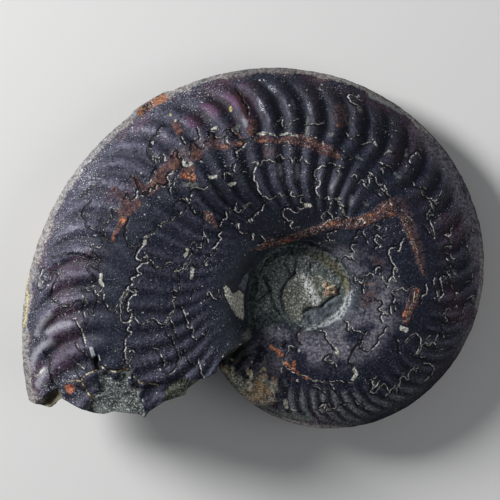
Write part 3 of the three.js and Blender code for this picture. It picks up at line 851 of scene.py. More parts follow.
# Sutures
def frilled(line, size, height, seed):
    """A line in millimetres with fine frills across it."""
    steps = np.gradient(line, axis=0)
    lengths = np.maximum(np.hypot(*steps.T), 1e-9)
    travelled = np.cumsum(lengths)
    frill = zigzag(travelled, size, seed) + 0.4 * zigzag(travelled, 0.56 * size, seed + 40)
    across = np.stack([-steps[:, 1], steps[:, 0]], 1) / lengths[:, None]
    return line + across * (height * frill)[:, None]


def suture_lines():
    """Every suture as (how pale its filling is, places in millimetres from the coil's axis)."""
    lines = []
    for number, (filling, corners) in enumerate(SUTURES):
        corners = in_photo(corners)
        length = np.linalg.norm(np.diff(corners, axis=0), axis=1).sum()
        line = smooth_curve(corners, np.linspace(0, 1, int(length / SUTURE_STEP)))
        lines.append((filling, frilled(line, FRILL_SIZE, FRILL_HEIGHT, number)))
    return lines


def suture_distance(angle, share):
    """Distance in millimetres from the nearest suture, below 0 to its right, and its filling."""
    lines = suture_lines()
    places = np.concatenate([line for filling, line in lines])
    ahead = np.concatenate([np.gradient(line, axis=0) for filling, line in lines])
    fillings = np.concatenate([np.full(len(line), filling) for filling, line in lines])
    nearby = KDTree(len(places))
    for number, (x, y) in enumerate(places):
        nearby.insert((x, y, 0), number)
    nearby.balance()
    x, y = polar(angle, keel_radius(angle) * share)
    nearest = np.array([nearby.find((u, v, 0))[1] for u, v in zip(x, y)])
    dx, dy = x - places[nearest, 0], y - places[nearest, 1]
    left = ahead[nearest, 0] * dy - ahead[nearest, 1] * dx > 0
    distance = np.minimum(np.hypot(dx, dy), SUTURE_REACH)
    return np.where(left, distance, -distance), fillings[nearest]


# The skin's height above the coil's middle plane
def soft_max(first, second, rounding):
    """The greater of two heights, with a rounded step between them."""
    return 0.5 * (first + second + np.sqrt((first - second) ** 2 + rounding**2))


def wall_top(angle):
    """Height of the umbilical shoulder, which sinks to the whorl before at the mouth."""
    return keel_radius(angle) * SECTION[0][1] * smooth(MOUTH_ANGLE - angle, 1, 18)


def umbilicus_height(x, y, side):
    """Height of the inner whorls and of the sediment on them."""
    angle = np.degrees(np.arctan2(y, x))
    radius = np.maximum(np.hypot(x, y), 0.05)
    turns = np.floor(np.log(radius / (keel_radius(angle) * SEAM_SHARE)) / math.log(WHORL_EXPANSION))
    reach = keel_radius(angle + 360 * turns)
    whorl = np.interp(radius / reach, *fine_section.T) * reach
    height = soft_max(whorl, FILL_HEIGHT, 0.3)
    wrapped = on_last_whorl(angle)
    inward = keel_radius(wrapped) * SEAM_SHARE - radius
    wall = 1 - smooth(inward, 0, WALL_WIDTH * (1 + 0.25 * flat_noise(x, y, 2.5, 6)))
    height = soft_max(height, wall * wall_top(wrapped), 0.25)
    if side < 0:
        return height + 0.12 * flat_noise(x, y, 1.6, 5)
    for lines, amount, width, steepness in BOWL_RELIEF:
        for line in lines:
            height = height + amount * beside(line_distance(x, y, line), width, steepness)
    return height + 0.2 * flat_noise(x, y, 1.7, 3) + 0.12 * flat_noise(x, y, 0.7, 4)


def blemish_place(angle, share, side):
    """Where the outlines of remnants, tints and painted light and shade are looked up: the hidden flank
    has them elsewhere.
    """
    if side < 0:
        angle = on_last_whorl(angle + HIDDEN_SIDE_TURN)
    return polar(angle, keel_radius(angle) * share)


def matrix_depth(x, y):
    """How far in from the bare matrix's edge a place lies."""
    return np.minimum(depth_inside(x, y, BREAK_MATRIX), -depth_inside(x, y, MATRIX_FLAP))


def break_relief(x, y):
    """How far the broken blocks and the matrix at the mouth lie below the flank."""
    ragged = 0.35 * flat_noise(x, y, 1.1, 13)
    drop = 2.6 * smooth(depth_inside(x, y, VENTER_WEDGE) + ragged, -0.2, 1.0)
    drop = drop + 0.45 * smooth(depth_inside(x, y, ORANGE_CHIP), -0.15, 0.3)
    rough = flat_noise(x, y, 2.4, 11) + 0.6 * flat_noise(x, y, 1.1, 12)
    rough = rough + 0.35 * flat_noise(x, y, 0.55, 14)
    drop = drop + (1.2 + 0.5 * rough) * smooth(matrix_depth(x, y) + ragged, -0.3, 0.6)
    drop = drop + (0.8 + 0.45 * rough) * smooth(depth_inside(x, y, GREEN_BLOCK) + ragged, -0.3, 0.6)
    for block in BREAK_BLOCKS:
        drop = drop + (0.6 + 0.25 * rough) * smooth(depth_inside(x, y, block) + 0.5 * ragged, -0.1, 0.6)
    for crack in BREAK_CRACKS:
        drop = drop + 0.45 * beside(line_distance(x, y, crack) + 0.3 * ragged, 0.3)
    for shard in PALE_SHARDS:
        drop = drop - 0.25 * smooth(depth_inside(x, y, shard), -0.15, 0.15)
    return drop + 1.5 * beside(line_distance(x, y, SHADED_PIT), 0.62, 4)


def flank_height(angle, share, section_height, side):
    """Height of the last whorl's flank, with ribs, remnants and the broken edge."""
    reach = keel_radius(angle)
    x, y = polar(angle, reach * share)
    ribs = rib_wave(angle, share) * rib_strength(angle, share)
    unevenness = 1 + 0.3 * flat_noise(x, y, 9.0, 21)
    height = reach * (section_height + ribs * unevenness) - 0.22 * smooth(share, 0.3, 0.42)
    height = np.where(share < SECTION[0][0], np.maximum(height, wall_top(angle)), height)
    near_seam = 1 - smooth(share, 0.27, 0.32)
    filled = soft_max(height, FILL_HEIGHT * near_seam, 0.3 * near_seam)
    height = np.where(near_seam > 0, filled, height)
    away_from_keel = 1 - smooth(share, 0.955, 0.99)
    height = height + 0.06 * flat_noise(x, y, 2.2, 22) * away_from_keel
    bx, by = blemish_place(angle, share, side)
    crust = smooth(depth_inside(bx, by, BOTTOM_CRUST), -0.8, 0.8)
    height = height + crust * away_from_keel * (0.22 + 0.3 * flat_noise(x, y, 1.2, 23))
    remnant = deepest(bx, by, RUST_PATCHES) + 0.25 * flat_noise(x, y, 1.1, 24)
    remnant = smooth(remnant, -0.15, 0.3) * (0.1 + 0.06 * flat_noise(x, y, 0.7, 25))
    height = height + remnant * away_from_keel
    height = height - 0.7 * beside(line_distance(bx, by, LOWER_PIT), 0.8, 4) * away_from_keel
    if side > 0:
        height = height - break_relief(x, y) * away_from_keel
    return height


def keel_reach(angle):
    """How far the worn keel reaches, as a share of the smooth spiral."""
    x, y = polar(angle, keel_radius(angle))
    wear = 0.05 * flat_noise(x, y, 5.0, 31) + 0.08 * flat_noise(x, y, 1.0, 32) - 0.08
    chip = 0.55 * smooth(deepest(x, y, [], [KEEL_CHIP]), -1.6, 0.2)
    return 1 + (wear + chip) / keel_radius(angle)


def broken_angle(share, side):
    """Angle at which a flank breaks off."""
    edge = along(BREAK_OUTLINE, share)
    if side > 0:
        return edge
    return edge - LOWER_EDGE_RETREAT * band(share, 0.23, 0.4, 0.85, 1.0)


def row_angles(columns, side):
    """Angle of each of the skin's corners, in evenly long rows from the mouth back."""
    ends = np.exp(GROWTH * np.radians([MOUTH_ANGLE, START_ANGLE]))
    seam = np.degrees(np.log(np.linspace(*ends, ROWS + 1)) / GROWTH)[:, None]
    bent = 1 - smooth(MOUTH_ANGLE - seam, 0, ANGLE_BENT_BY_BREAK)
    return seam + bent * (broken_angle(columns[None, :, 0], side) - MOUTH_ANGLE)


class Skin:
    """Corners and faces of one closed surface, in the coil's own axes."""

    def __init__(self):
        self.groups = []
        self.faces = []
        self.count = 0

    def add(self, x, y, z, angle, share, side, broken=0.0):
        """Adds an array of corners and returns their numbers in the same shape."""
        values = np.broadcast_arrays(x, y, z, angle, share, side, broken)
        self.groups.append(np.stack([np.ravel(v) for v in values], 1).astype(float))
        numbers = self.count + np.arange(values[0].size).reshape(values[0].shape)
        self.count += numbers.size
        return numbers

    def corners(self):
        """A row for every corner, in the order of its numbers, with what add was given."""
        return np.concatenate(self.groups)

    def cover(self, grid, side, closed=False):
        """Quads over a grid of corner numbers: rows back from the mouth, or rings inward."""
        if closed:
            grid = np.concatenate([grid, grid[:, :1]], axis=1)
        a, b, c, d = grid[:-1, :-1], grid[1:, :-1], grid[1:, 1:], grid[:-1, 1:]
        quads = np.stack([a, b, c, d], -1).reshape(-1, 4)
        self.faces.extend((quads if side > 0 else quads[:, ::-1]).tolist())

    def zip_up(self, first, second, side, closed=False):
        """Triangles between two lines of corners that run the same way."""
        if closed:
            first = np.append(first, first[0])
            second = np.append(second, second[0])
        i = j = 0
        while i < len(first) - 1 or j < len(second) - 1:
            step_first = j == len(second) - 1 or (
                i < len(first) - 1 and (i + 1) / (len(first) - 1) <= (j + 1) / (len(second) - 1)
            )
            corner = first[i + 1] if step_first else second[j + 1]
            face = [first[i], second[j], corner]
            if len(set(face)) == 3:
                self.faces.append([int(n) for n in (face if side > 0 else face[::-1])])
            i, j = (i + 1, j) if step_first else (i, j + 1)


def add_flank(skin, columns, side, keel):
    """The last whorl's flank. Its inner edge is shared with the umbilicus."""
    angle = row_angles(columns, side)
    share = np.broadcast_to(columns[None, :, 0], angle.shape)
    height = flank_height(angle, share, columns[None, :, 1], side)
    reach = keel_radius(angle)
    worn = 1 + (keel_reach(angle) - 1) * smooth(share, 0.9, 1.0)
    x, y = polar(angle, reach * share * worn)
    seam_x, seam_y = x[:, 0], y[:, 0]
    height[:, 0] = umbilicus_height(seam_x, seam_y, side)
    grid = skin.add(x, y, side * height, angle, share, side)
    grid[:, -1] = keel
    joined = int(np.argmin(np.abs(columns[:, 0] - OVERLAP_SHARE)))
    grid[0, 0] = grid[-1, joined]
    skin.cover(grid, side)
    return grid, joined


def add_umbilicus(skin, grid, joined, side, disc):
    """The bowl inside the seam: rings that shrink from its rim to the coil's axis."""
    rings, every = disc
    rim = np.concatenate([grid[:-1, 0], grid[-1, :joined]])
    x0, y0 = skin.corners()[rim[::every], :2].T
    shrink = np.linspace(1, INNERMOST_RING, rings + 1)[1:, None]
    x, y = shrink * x0, shrink * y0
    height = side * umbilicus_height(x, y, side)
    angle = np.degrees(np.arctan2(y, x))
    numbers = skin.add(x, y, height, angle, DISC_SHARE, side)
    skin.zip_up(rim, numbers[0], side, closed=True)
    skin.cover(numbers, side, closed=True)
    middle = skin.add(np.zeros(1), 0, np.mean(height[-1]), 0, DISC_SHARE, side)
    for first, second in zip(numbers[-1], np.roll(numbers[-1], -1)):
        face = [int(first), int(middle[0]), int(second)]
        skin.faces.append(face if side > 0 else face[::-1])


def add_ridge(skin, columns, keel_corner):
    """The line that the fracture reaches at the middle of the whorl's thickness."""
    share = columns[:, 0]
    angle = broken_angle(share, 1) - 0.6 * band(share, 0.37, 0.45, 0.9, 1)
    x, y = polar(angle, keel_radius(angle) * share)
    z = 0.8 * flat_noise(x, y, 5.0, 41) * (1 - smooth(share, 0.8, 1))
    numbers = skin.add(x, y, z, angle, share, 0, 1.0)
    numbers[-1] = keel_corner
    return numbers


def add_break(skin, grid, columns, joined, ridge, ridge_columns, side):
    """The fracture, from a flank's broken edge to the ridge or to the whorl before."""
    corners = skin.corners()[:, :3]
    edge = grid[0]
    before = grid[-1, joined:]
    before_share = columns[joined:, 0] / WHORL_EXPANSION
    far_line = np.concatenate([before, ridge])
    far_share = np.concatenate([before_share, ridge_columns[:, 0]])
    near = corners[edge]
    far = np.stack([np.interp(columns[:, 0], far_share, k) for k in corners[far_line].T], 1)
    t = np.linspace(0, 1, BREAK_ROWS + 2)[1:-1, None]
    x, y, z = [near[None, :, k] * (1 - t) + far[None, :, k] * t for k in range(3)]
    shake = 4 * t * (1 - t)
    span = np.clip(np.abs(far - near).max(1)[None, :] / 3, 0, 1)
    outward = polar(MOUTH_ANGLE + 90, 1.0)
    for size, amount, seed in BREAK_LUMPS:
        push = amount * shake * span * lattice_noise(x, y, z, size, seed)
        x, y = x + outward[0] * push, y + outward[1] * push
    angle = broken_angle(columns[:, 0], side)[None, :] + 0 * x
    share = np.broadcast_to(columns[None, :, 0], x.shape)
    rows = skin.add(x, y, z, angle, share, side, 1.0)
    rows[:, 0] = edge[0]
    rows[:, -1] = edge[-1]
    sheet = np.vstack([rows[::-1], edge[None, :]])
    skin.cover(sheet[:, 1:-1], side)
    for first, second in zip(sheet[:-1], sheet[1:]):
        for end, inner in ((0, 1), (-1, -2)):
            face = [int(sheet[0, end]), int(first[inner]), int(second[inner])]
            turn = (side > 0) == (end == 0)
            skin.faces.append(face[::-1] if turn else face)
    skin.zip_up(far_line, rows[-1], side)


def build_skin():
    """Both flanks, both bowls of the umbilicus and the fracture, as one closed surface."""
    skin = Skin()
    upper = smooth_curve(section_points, np.linspace(0, 1, UPPER_COLUMNS + 1))
    lower = smooth_curve(section_points, np.linspace(0, 1, LOWER_COLUMNS + 1))
    keel_angle = row_angles(np.array([[1.0, 0.0]]), 1)[:, 0]
    x, y = polar(keel_angle, keel_radius(keel_angle) * keel_reach(keel_angle))
    sway = 0.12 * flat_noise(x, y, 3.0, 33)
    keel = skin.add(x, y, sway, keel_angle, 1.0, 0)
    flanks = []
    for side, columns, disc in ((1, upper, UPPER_DISC), (-1, lower, LOWER_DISC)):
        grid, joined = add_flank(skin, columns, side, keel)
        add_umbilicus(skin, grid, joined, side, disc)
        flanks.append((grid, columns, joined, side))
    free = upper[upper[:, 0] > RIDGE_START_SHARE]
    ridge = add_ridge(skin, free, keel[0])
    for grid, columns, joined, side in flanks:
        add_break(skin, grid, columns, joined, ridge, free, side)
    return skin


def lay_down(corners):
    """Leans the disc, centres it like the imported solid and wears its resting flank."""
    lean = np.array(Euler([math.radians(a) for a in LEAN]).to_matrix())
    laid = corners @ lean.T
    middle = (laid.min(0) + laid.max(0)) / 2
    shift = np.array([-middle[0], -middle[1], -laid[:, 2].min() - WEAR_DEPTH])
    laid = laid + shift
    laid[:, 2] = np.maximum(laid[:, 2], 0)
    return laid, shift, lean


def mark_and_light_depths(angle, share, side):
    """Depth in millimetres inside each kind of remnant, tint, painted light or painted shade, below 0
    outside it.
    """
    depths = {name: np.zeros(len(angle)) for name in FLANK_MARKS_AND_PAINTED_LIGHT}
    for chosen, here in ((1, side >= 0), (-1, side < 0)):
        x, y = blemish_place(angle[here], share[here], chosen)
        for name, (outlines, lines) in FLANK_MARKS_AND_PAINTED_LIGHT.items():
            depths[name][here] = deepest(x, y, outlines, lines)
    return depths


def dust_amount(angle, share):
    """How dusty the mould looks: most on the outer flank near the mouth."""
    outer = smooth(share, 0.72, 0.84) * (0.06 + 0.94 * smooth(angle, 100, 140))
    inner = 0.35 * (1 - smooth(share, 0.5, 0.64)) * smooth(angle, -60, 60)
    keel = 0.5 * smooth(share, 0.86, 0.95) * band(angle, -50, -10, 40, 80)
    dusty = np.maximum(np.maximum(outer, inner), keel)
    return np.where(share < FLANK_START_SHARE, 0, dusty)


def surface_fields(x, y, angle, share, side, broken):
    """The numbers on each corner that the stone's material reads by name."""
    bowl = share < FLANK_START_SHARE
    flank_share = np.where(bowl, FLANK_START_SHARE, share)
    suture, filling = suture_distance(angle, flank_share)
    ribs = rib_wave(angle, share) * rib_strength(angle, share)
    smooth_band = band(share, 0.57, 0.64, 0.73, 0.80)
    begun = smooth(angle - START_ANGLE, 0, 16) + smooth(share, 0.35, 0.5)
    from_seam = keel_radius(on_last_whorl(angle)) * SEAM_SHARE - np.hypot(x, y)
    upper = side >= 0
    fields = {
        "suture": suture,
        "suture_near": np.where(bowl | (broken > 0), SUTURE_REACH, np.abs(suture)),
        "filling": filling,
        "share": share,
        "broken": broken,
        "crest": np.where(bowl, 0, ribs / OUTER_RIB_HEIGHT),
        "pallor": along(KEEL_PALLOR, angle),
        "dust": dust_amount(angle, share),
        "sleek": smooth_band * smooth(angle, 115, 150),
        # 0 on the left, 1 on the right: the umbilical wall's painted shade on the left and painted
        #                                light on the right
        "lit_wall": smooth(x, -3, 7),
        "wall": np.where(bowl, 1.0, 1 - np.minimum(begun, 1)),
        "bowl": np.where(upper, depth_inside(x, y, BOWL_SEDIMENT), from_seam),
        "keel_chip": deepest(x, y, [], [KEEL_CHIP]),
    }
    shown = {"matrix": matrix_depth(x, y), "rim_dust": deepest(x, y, [], [RIM_DUST])}
    for name, outlines in UPPER_OUTLINES.items():
        shown[name] = deepest(x, y, outlines)
    for name, (reach, lines) in UPPER_LINES.items():
        shown[name] = reach - nearest_line(x, y, lines)
    for name, depth in shown.items():
        fields[name] = np.where(upper, depth, FAR_OUTSIDE)
    return fields | mark_and_light_depths(angle, flank_share, side)


def make_mesh(skin):
    """The ammonite, with how it was moved and leant to lie on the floor."""
    corners = skin.corners()
    laid, shift, lean = lay_down(corners[:, :3])
    used = np.unique(np.concatenate([np.array(face) for face in skin.faces]))
    renumber = np.full(len(corners), -1)
    renumber[used] = np.arange(len(used))
    faces = [[int(renumber[n]) for n in face] for face in skin.faces]
    mesh = bpy.data.meshes.new("ammonite_skin")
    mesh.from_pydata((laid[used] / 1000).tolist(), [], faces)
    mesh.update()
    x, y, _, angle, share, side, broken = corners[used].T
    for name, values in surface_fields(x, y, angle, share, side, broken).items():
        layer = mesh.attributes.new(name, "FLOAT", "POINT")
        layer.data.foreach_set("value", np.asarray(values, np.float32))
    mesh.polygons.foreach_set("use_smooth", [True] * len(mesh.polygons))
    ammonite = bpy.data.objects.new("ammonite_skin", mesh)
    bpy.context.scene.collection.objects.link(ammonite)
    return ammonite, shift, lean


# Shader arithmetic
class Signal:
    """A number in a material that can be added, scaled and mixed like any other."""

    tree = None

    def __init__(self, socket):
        self.socket = socket

    def __add__(self, other):
        return calculate("ADD", self, other)

    def __sub__(self, other):
        return calculate("SUBTRACT", self, other)

    def __rsub__(self, other):
        return calculate("SUBTRACT", other, self)

    def __mul__(self, other):
        return calculate("MULTIPLY", self, other)


def feed(node_input, value):
    if isinstance(value, Signal):
        Signal.tree.links.new(value.socket, node_input)
    else:
        node_input.default_value = value


def calculate(operation, first, second=0.0):
    node = Signal.tree.nodes.new("ShaderNodeMath")
    node.operation = operation
    feed(node.inputs[0], first)
    feed(node.inputs[1], second)
    return Signal(node.outputs[0])


def attribute(name):
    node = Signal.tree.nodes.new("ShaderNodeAttribute")
    node.attribute_name = name
    return Signal(node.outputs["Fac"])


def between(value, start, end, low=0.0, high=1.0):
    """A smooth step from low, where the value is at start, to high at end."""
    node = Signal.tree.nodes.new("ShaderNodeMapRange")
    node.interpolation_type = "SMOOTHSTEP"
    for place, number in enumerate((value, start, end, low, high)):
        feed(node.inputs[place], number)
    return Signal(node.outputs[0])


def noise(place, scale, detail=2.0, rough=0.5):
    node = Signal.tree.nodes.new("ShaderNodeTexNoise")
    feed(node.inputs["Vector"], place)
    feed(node.inputs["Scale"], scale)
    feed(node.inputs["Detail"], detail)
    feed(node.inputs["Roughness"], rough)
    return Signal(node.outputs["Fac"])


def sand_grains(place, scale):
    """Distance from the middles of scattered grains."""
    node = Signal.tree.nodes.new("ShaderNodeTexVoronoi")
    feed(node.inputs["Vector"], place)
    feed(node.inputs["Scale"], scale)
    return Signal(node.outputs["Distance"])


def blend(amount, under, over):
    """One colour over another. A colour is a signal or a triple of linear numbers."""
    node = Signal.tree.nodes.new("ShaderNodeMix")
    node.data_type = "RGBA"
    node.clamp_factor = True
    feed(node.inputs[0], amount)
    for place, colour in ((6, under), (7, over)):
        feed(node.inputs[place], colour if isinstance(colour, Signal) else (*colour, 1.0))
    return Signal(node.outputs[2])


def tinted(colour, tints):
    """A colour with tints over it: (signal, its start and end, strength, tint)."""
    for signal, start, end, strength, tint in tints:
        colour = blend(between(signal, start, end, 0.0, strength), colour, tint)
    return colour


class Texture:
    """The noises that every layer of the stone's colour shares, around a place on it."""

    def __init__(self, place):
        self.place = place
        self.broad = noise(place, 60.0, 3.0)
        self.cloudy = noise(place, 190.0, 4.0, 0.6)
        self.medium = noise(place, 480.0, 3.0, 0.6)
        self.grain = noise(place, 900.0, 3.0, 0.6)
        self.gritty = noise(place, 1700.0, 2.0, 0.6)
        self.fine = noise(place, 2600.0, 2.0, 0.6)
        self.sand = sand_grains(place, 2100.0)
        self.ragged = (self.cloudy - 0.5) * 1.6 + (self.grain - 0.5)
        self.speckle = between(self.gritty, 0.41, 0.59)

    def mask(self, name, raggedness, start, end):
        """0 to 1 where a named attribute rises from start to end, with a ragged edge."""
        return between(attribute(name) + self.ragged * raggedness, start, end)

    def lay(self, under, name, raggedness, start, end, strength, over):
        """Lays one colour over another by such a mask."""
        return blend(self.mask(name, raggedness, start, end) * strength, under, over)


def mould_colour(look):
    """Slate and purple stone with paler, dusty crests and dark furrows: the crests' pallor is partly
    painted highlight, the furrows' darkness partly painted shade; also painted shade, painted
    highlights and painted light in named fields.
    """
    share, crest, dust = attribute("share"), attribute("crest"), attribute("dust")
    purple = between(look.broad + (share - 0.75) * 0.35, 0.46, 0.62)
    colour = blend(purple, (0.0034, 0.0058, 0.0150), (0.0088, 0.0066, 0.0180))
    colour = blend(attribute("sleek") * 0.8, colour, (0.0020, 0.0044, 0.0115))
    ruddy = between(noise(look.place, 110.0, 2.0), 0.50, 0.60) * between(share, 0.70, 0.82)
    colour = blend(ruddy * 0.75, colour, (0.036, 0.011, 0.022))
    colour = tinted(colour, [
        (look.cloudy, 0.5, 0.75, 0.25, (0.020, 0.025, 0.042)),
        (look.fine, 0.52, 0.62, 0.36, (0.064, 0.070, 0.096)),
        # painted highlight: rib crests lightened
        (crest, 0.0, 1.0, 0.34, (0.070, 0.067, 0.092)),
    ])
    # Dust, stronger on rib crests as painted highlight
    dusty = dust * between(look.medium, 0.25, 0.65) * between(crest, -0.6, 0.6, 0.25, 0.66)
    colour = blend(dusty, colour, blend(ruddy * 0.8, (0.080, 0.076, 0.115), (0.092, 0.064, 0.098)))
    shaded_furrow = blend(ruddy, (0.0030, 0.0038, 0.0075), (0.0150, 0.0045, 0.0085))
    colour = tinted(colour, [
        # painted shade: rib furrows darkened, some of them ruddy
        (crest, -0.05, -0.95, 0.68, shaded_furrow),
        (look.gritty, 0.48, 0.40, 0.75, (0.0012, 0.0017, 0.0040)),
        (share, 0.38, 0.27, 0.5, (0.014, 0.021, 0.020)),
    ])
    grains = between(look.gritty, 0.38, 0.62)
    lilac = between(attribute("lilac"), -1.5, 2.5) * between(look.cloudy, 0.36, 0.53)
    colour = blend(lilac * 0.8, colour, blend(grains, (0.060, 0.057, 0.076), (0.190, 0.180, 0.210)))
    # Painted light: lifts the lower flank's rib crests in grey-blue
    rib_light = between(attribute("rib_light"), -1.0, 2.0) * between(crest, -0.7, 0.7, 0.1, 1.0)
    rib_light_colour = blend(grains, (0.030, 0.039, 0.046), (0.135, 0.150, 0.160))
    rib_light_colour = blend(between(look.fine, 0.57, 0.64) * 0.7, rib_light_colour, (0.36, 0.37, 0.36))
    colour = blend(rib_light * 0.8, colour, rib_light_colour)
    # Painted highlights on rib crests and glints
    painted_highlight = between(attribute("painted_highlight") + look.ragged * 0.3, -0.7, 0.4) * between(look.gritty, 0.15, 0.5)
    colour = blend(painted_highlight * 0.6, colour, (0.28, 0.28, 0.31))
    # Painted shade in the hollow below the mouth
    hollow_shade = between(attribute("hollow_shade"), -0.5, 1.5)
    colour = blend(hollow_shade * 0.75, colour, (0.014, 0.018, 0.011))
    # Painted shade: darkens these fields, less on rib crests
    field_shade = between(attribute("field_shade"), -2.0, 2.0) * between(crest, 1.0, -0.3, 0.75, 1.0)
    colour = blend(field_shade * 0.84, colour, (0.0030, 0.0040, 0.0080))
    mauve = look.mask("mauve", 1.0, 0.0, 2.2)
    # Mauve ribs: lit mauve on crests and dark maroon in furrows, partly painted highlight and shade
    mauve_colour = blend(between(crest, -0.3, 1.0), (0.011, 0.0035, 0.006), (0.105, 0.050, 0.098))
    return blend(mauve * 0.88, colour, mauve_colour)


def keel_colour(look, colour):
    """Chalky wear on the keel with a dull red rim, painted shade on its dim lower right, two films and
    a rusty chip, also as a mask.
    """
    share, pallor = attribute("share"), attribute("pallor")
    uneven = (look.gritty - 0.5) * 0.012 + (look.cloudy - 0.5) * 0.05
    patchy = between(look.broad + pallor * 0.42, 0.5, 0.85)
    rim = between(share + uneven, 0.959, 0.966) * patchy * between(look.cloudy, 0.42, 0.58)
    colour = blend(rim * 0.7, colour, (0.066, 0.040, 0.042))
    edge = between(share + uneven, 0.971, 0.980) * patchy
    chalk = blend(between(look.gritty, 0.36, 0.64), (0.100, 0.093, 0.092), (0.285, 0.27, 0.25))
    colour = blend(edge * 0.84, colour, chalk)
    # Painted shade on the keel's lower right, where pallor drops below 0.1
    shaded = between(pallor, 0.1, -0.2) * between(share, 0.90, 0.96)
    colour = blend(shaded * 0.8, colour, (0.003, 0.004, 0.006))
    colour = look.lay(colour, "film", 0.6, 0.0, 0.5, 0.6, (0.175, 0.195, 0.195))
    ochre = blend(between(look.gritty, 0.42, 0.58), (0.24, 0.17, 0.045), (0.52, 0.46, 0.20))
    colour = look.lay(colour, "yellow", 0.3, 0.0, 0.3, 0.85, ochre)
    chip = look.mask("keel_chip", 0.5, 0.0, 0.5) * between(share, 0.90, 0.93)
    rusty = blend(between(look.medium, 0.40, 0.60), (0.020, 0.008, 0.004), (0.22, 0.080, 0.028))
    rusty = tinted(rusty, [(look.fine, 0.57, 0.64, 0.35, (0.40, 0.26, 0.15))])
    return blend(chip, colour, rusty), chip


def add_specks(look, colour):
    """Fine bright specks, densest on the dusty outer flank and the keel."""
    share, dust, pallor = attribute("share"), attribute("dust"), attribute("pallor")
    crowd = dust * 0.4 + between(share, 0.86, 0.96) * pallor * 0.6
    crowd = crowd + between(noise(look.place, 75.0, 2.0), 0.42, 0.62) * 0.6
    scattered = between(noise(look.place, 3200.0, 3.0, 0.7) + crowd * 0.085, 0.680, 0.71)
    colour = blend(scattered * 0.75, colour, (0.36, 0.36, 0.38))
    flecks = between(noise(look.place, 1100.0, 2.0, 0.5) + crowd * 0.04, 0.736, 0.76)
    return blend(flecks * 0.7, colour, (0.42, 0.42, 0.43))


def suture_layers(look, colour):
    """Dark sutures, partly filled with pale calcite; also returns the two masks."""
    share = attribute("share")
    offset = attribute("suture") + (look.gritty - 0.5) * 0.34
    on_flank = between(share, 0.985, 0.95) * between(attribute("bowl"), 0.2, -0.3)
    on_flank = on_flank * between(attribute("suture_near"), 0.56, 0.42)
    filling = attribute("filling")
    groove = between(calculate("ABSOLUTE", offset + 0.08), 0.36, 0.16) * on_flank
    clotted = noise(look.place, 1250.0, 2.0, 0.6) * 0.7 + look.medium * 0.3
    bright = between(clotted + (filling - 0.5) * 0.15, 0.48, 0.535)
    fill_width = between(share, 0.40, 0.56, 0.08, 0.10) + filling * 0.06
    from_fill = calculate("ABSOLUTE", offset - 0.08)
    calcite = between(from_fill, fill_width, 0.03) * on_flank * bright
    colour = blend(groove * 0.9, colour, (0.003, 0.003, 0.004))
    calcite_colour = blend(between(look.fine, 0.40, 0.60), (0.20, 0.195, 0.185), (0.58, 0.57, 0.55))
    return blend(calcite * 0.9, colour, calcite_colour), groove, calcite


def remnant_layers(look, colour):
    """Rusty shell, orange and pale sediment and crust, and one mask for the thick ones."""
    fine_speckle = between(look.fine, 0.40, 0.60)
    hazy = look.mask("haze", 1.2, -0.4, 0.9) * between(look.gritty, 0.34, 0.56)
    colour = blend(hazy * 0.7, colour, (0.092, 0.056, 0.058))
    rust = look.mask("rust", 0.55, -0.2, 0.25)
    mottle = between(look.grain, 0.38, 0.62)
    rust_colour = blend(mottle, (0.028, 0.012, 0.013), (0.098, 0.046, 0.048))
    tawny = blend(mottle, (0.056, 0.025, 0.017), (0.155, 0.072, 0.045))
    rust_colour = tinted(rust_colour, [
        (look.medium, 0.47, 0.60, 0.8, tawny),
        (look.gritty, 0.44, 0.37, 0.45, (0.010, 0.008, 0.008)),
    ])
    flecked = between(look.fine, 0.57, 0.64) * between(attribute("share"), 0.72, 0.64, 0.3, 0.75)
    rust_colour = blend(flecked, rust_colour, (0.38, 0.34, 0.31))
    colour = blend(rust * 0.85, colour, rust_colour)
    orange = look.mask("orange", 0.6, -0.1, 0.7) * between(look.grain, 0.36, 0.5)
    orange_colour = blend(fine_speckle, (0.25, 0.062, 0.022), (0.74, 0.30, 0.12))
    colour = blend(orange * 0.85, colour, orange_colour)
    colour = look.lay(colour, "red", 0.5, 0.0, 0.4, 0.85, (0.036, 0.011, 0.010))
    blue_colour = blend(look.speckle, (0.050, 0.060, 0.072), (0.135, 0.15, 0.17))
    colour = look.lay(colour, "blue", 0.5, 0.0, 0.3, 0.85, blue_colour)
    grey_colour = blend(fine_speckle, (0.050, 0.056, 0.052), (0.18, 0.19, 0.175))
    colour = look.lay(colour, "grey", 0.9, -0.1, 0.5, 0.75, grey_colour)
    pale = between(attribute("pale") + look.ragged * 0.35 + (look.gritty - 0.5) * 0.8, 0.0, 0.16)
    pale_colour = blend(fine_speckle, (0.20, 0.20, 0.17), (0.56, 0.55, 0.48))
    colour = blend(pale * 0.9, colour, pale_colour)
    crust = look.mask("crust", 2.2, -1.0, 0.4)
    crust_colour = blend(between(look.cloudy, 0.42, 0.54), (0.33, 0.34, 0.27), (0.58, 0.37, 0.19))
    crust_colour = tinted(crust_colour, [
        (look.medium, 0.46, 0.38, 0.7, (0.10, 0.10, 0.10)),
        (look.fine, 0.52, 0.59, 0.9, (0.88, 0.84, 0.70)),
        (look.gritty, 0.47, 0.40, 0.7, (0.045, 0.042, 0.034)),
    ])
    colour = blend(crust * 0.85, colour, crust_colour)
    cream = between(attribute("cream") + (look.gritty - 0.5) * 0.5, 0.0, 0.15)
    cream_colour = blend(between(look.grain, 0.42, 0.58), (0.54, 0.48, 0.24), (0.88, 0.84, 0.72))
    return blend(cream * 0.85, colour, cream_colour), rust + crust + pale + cream


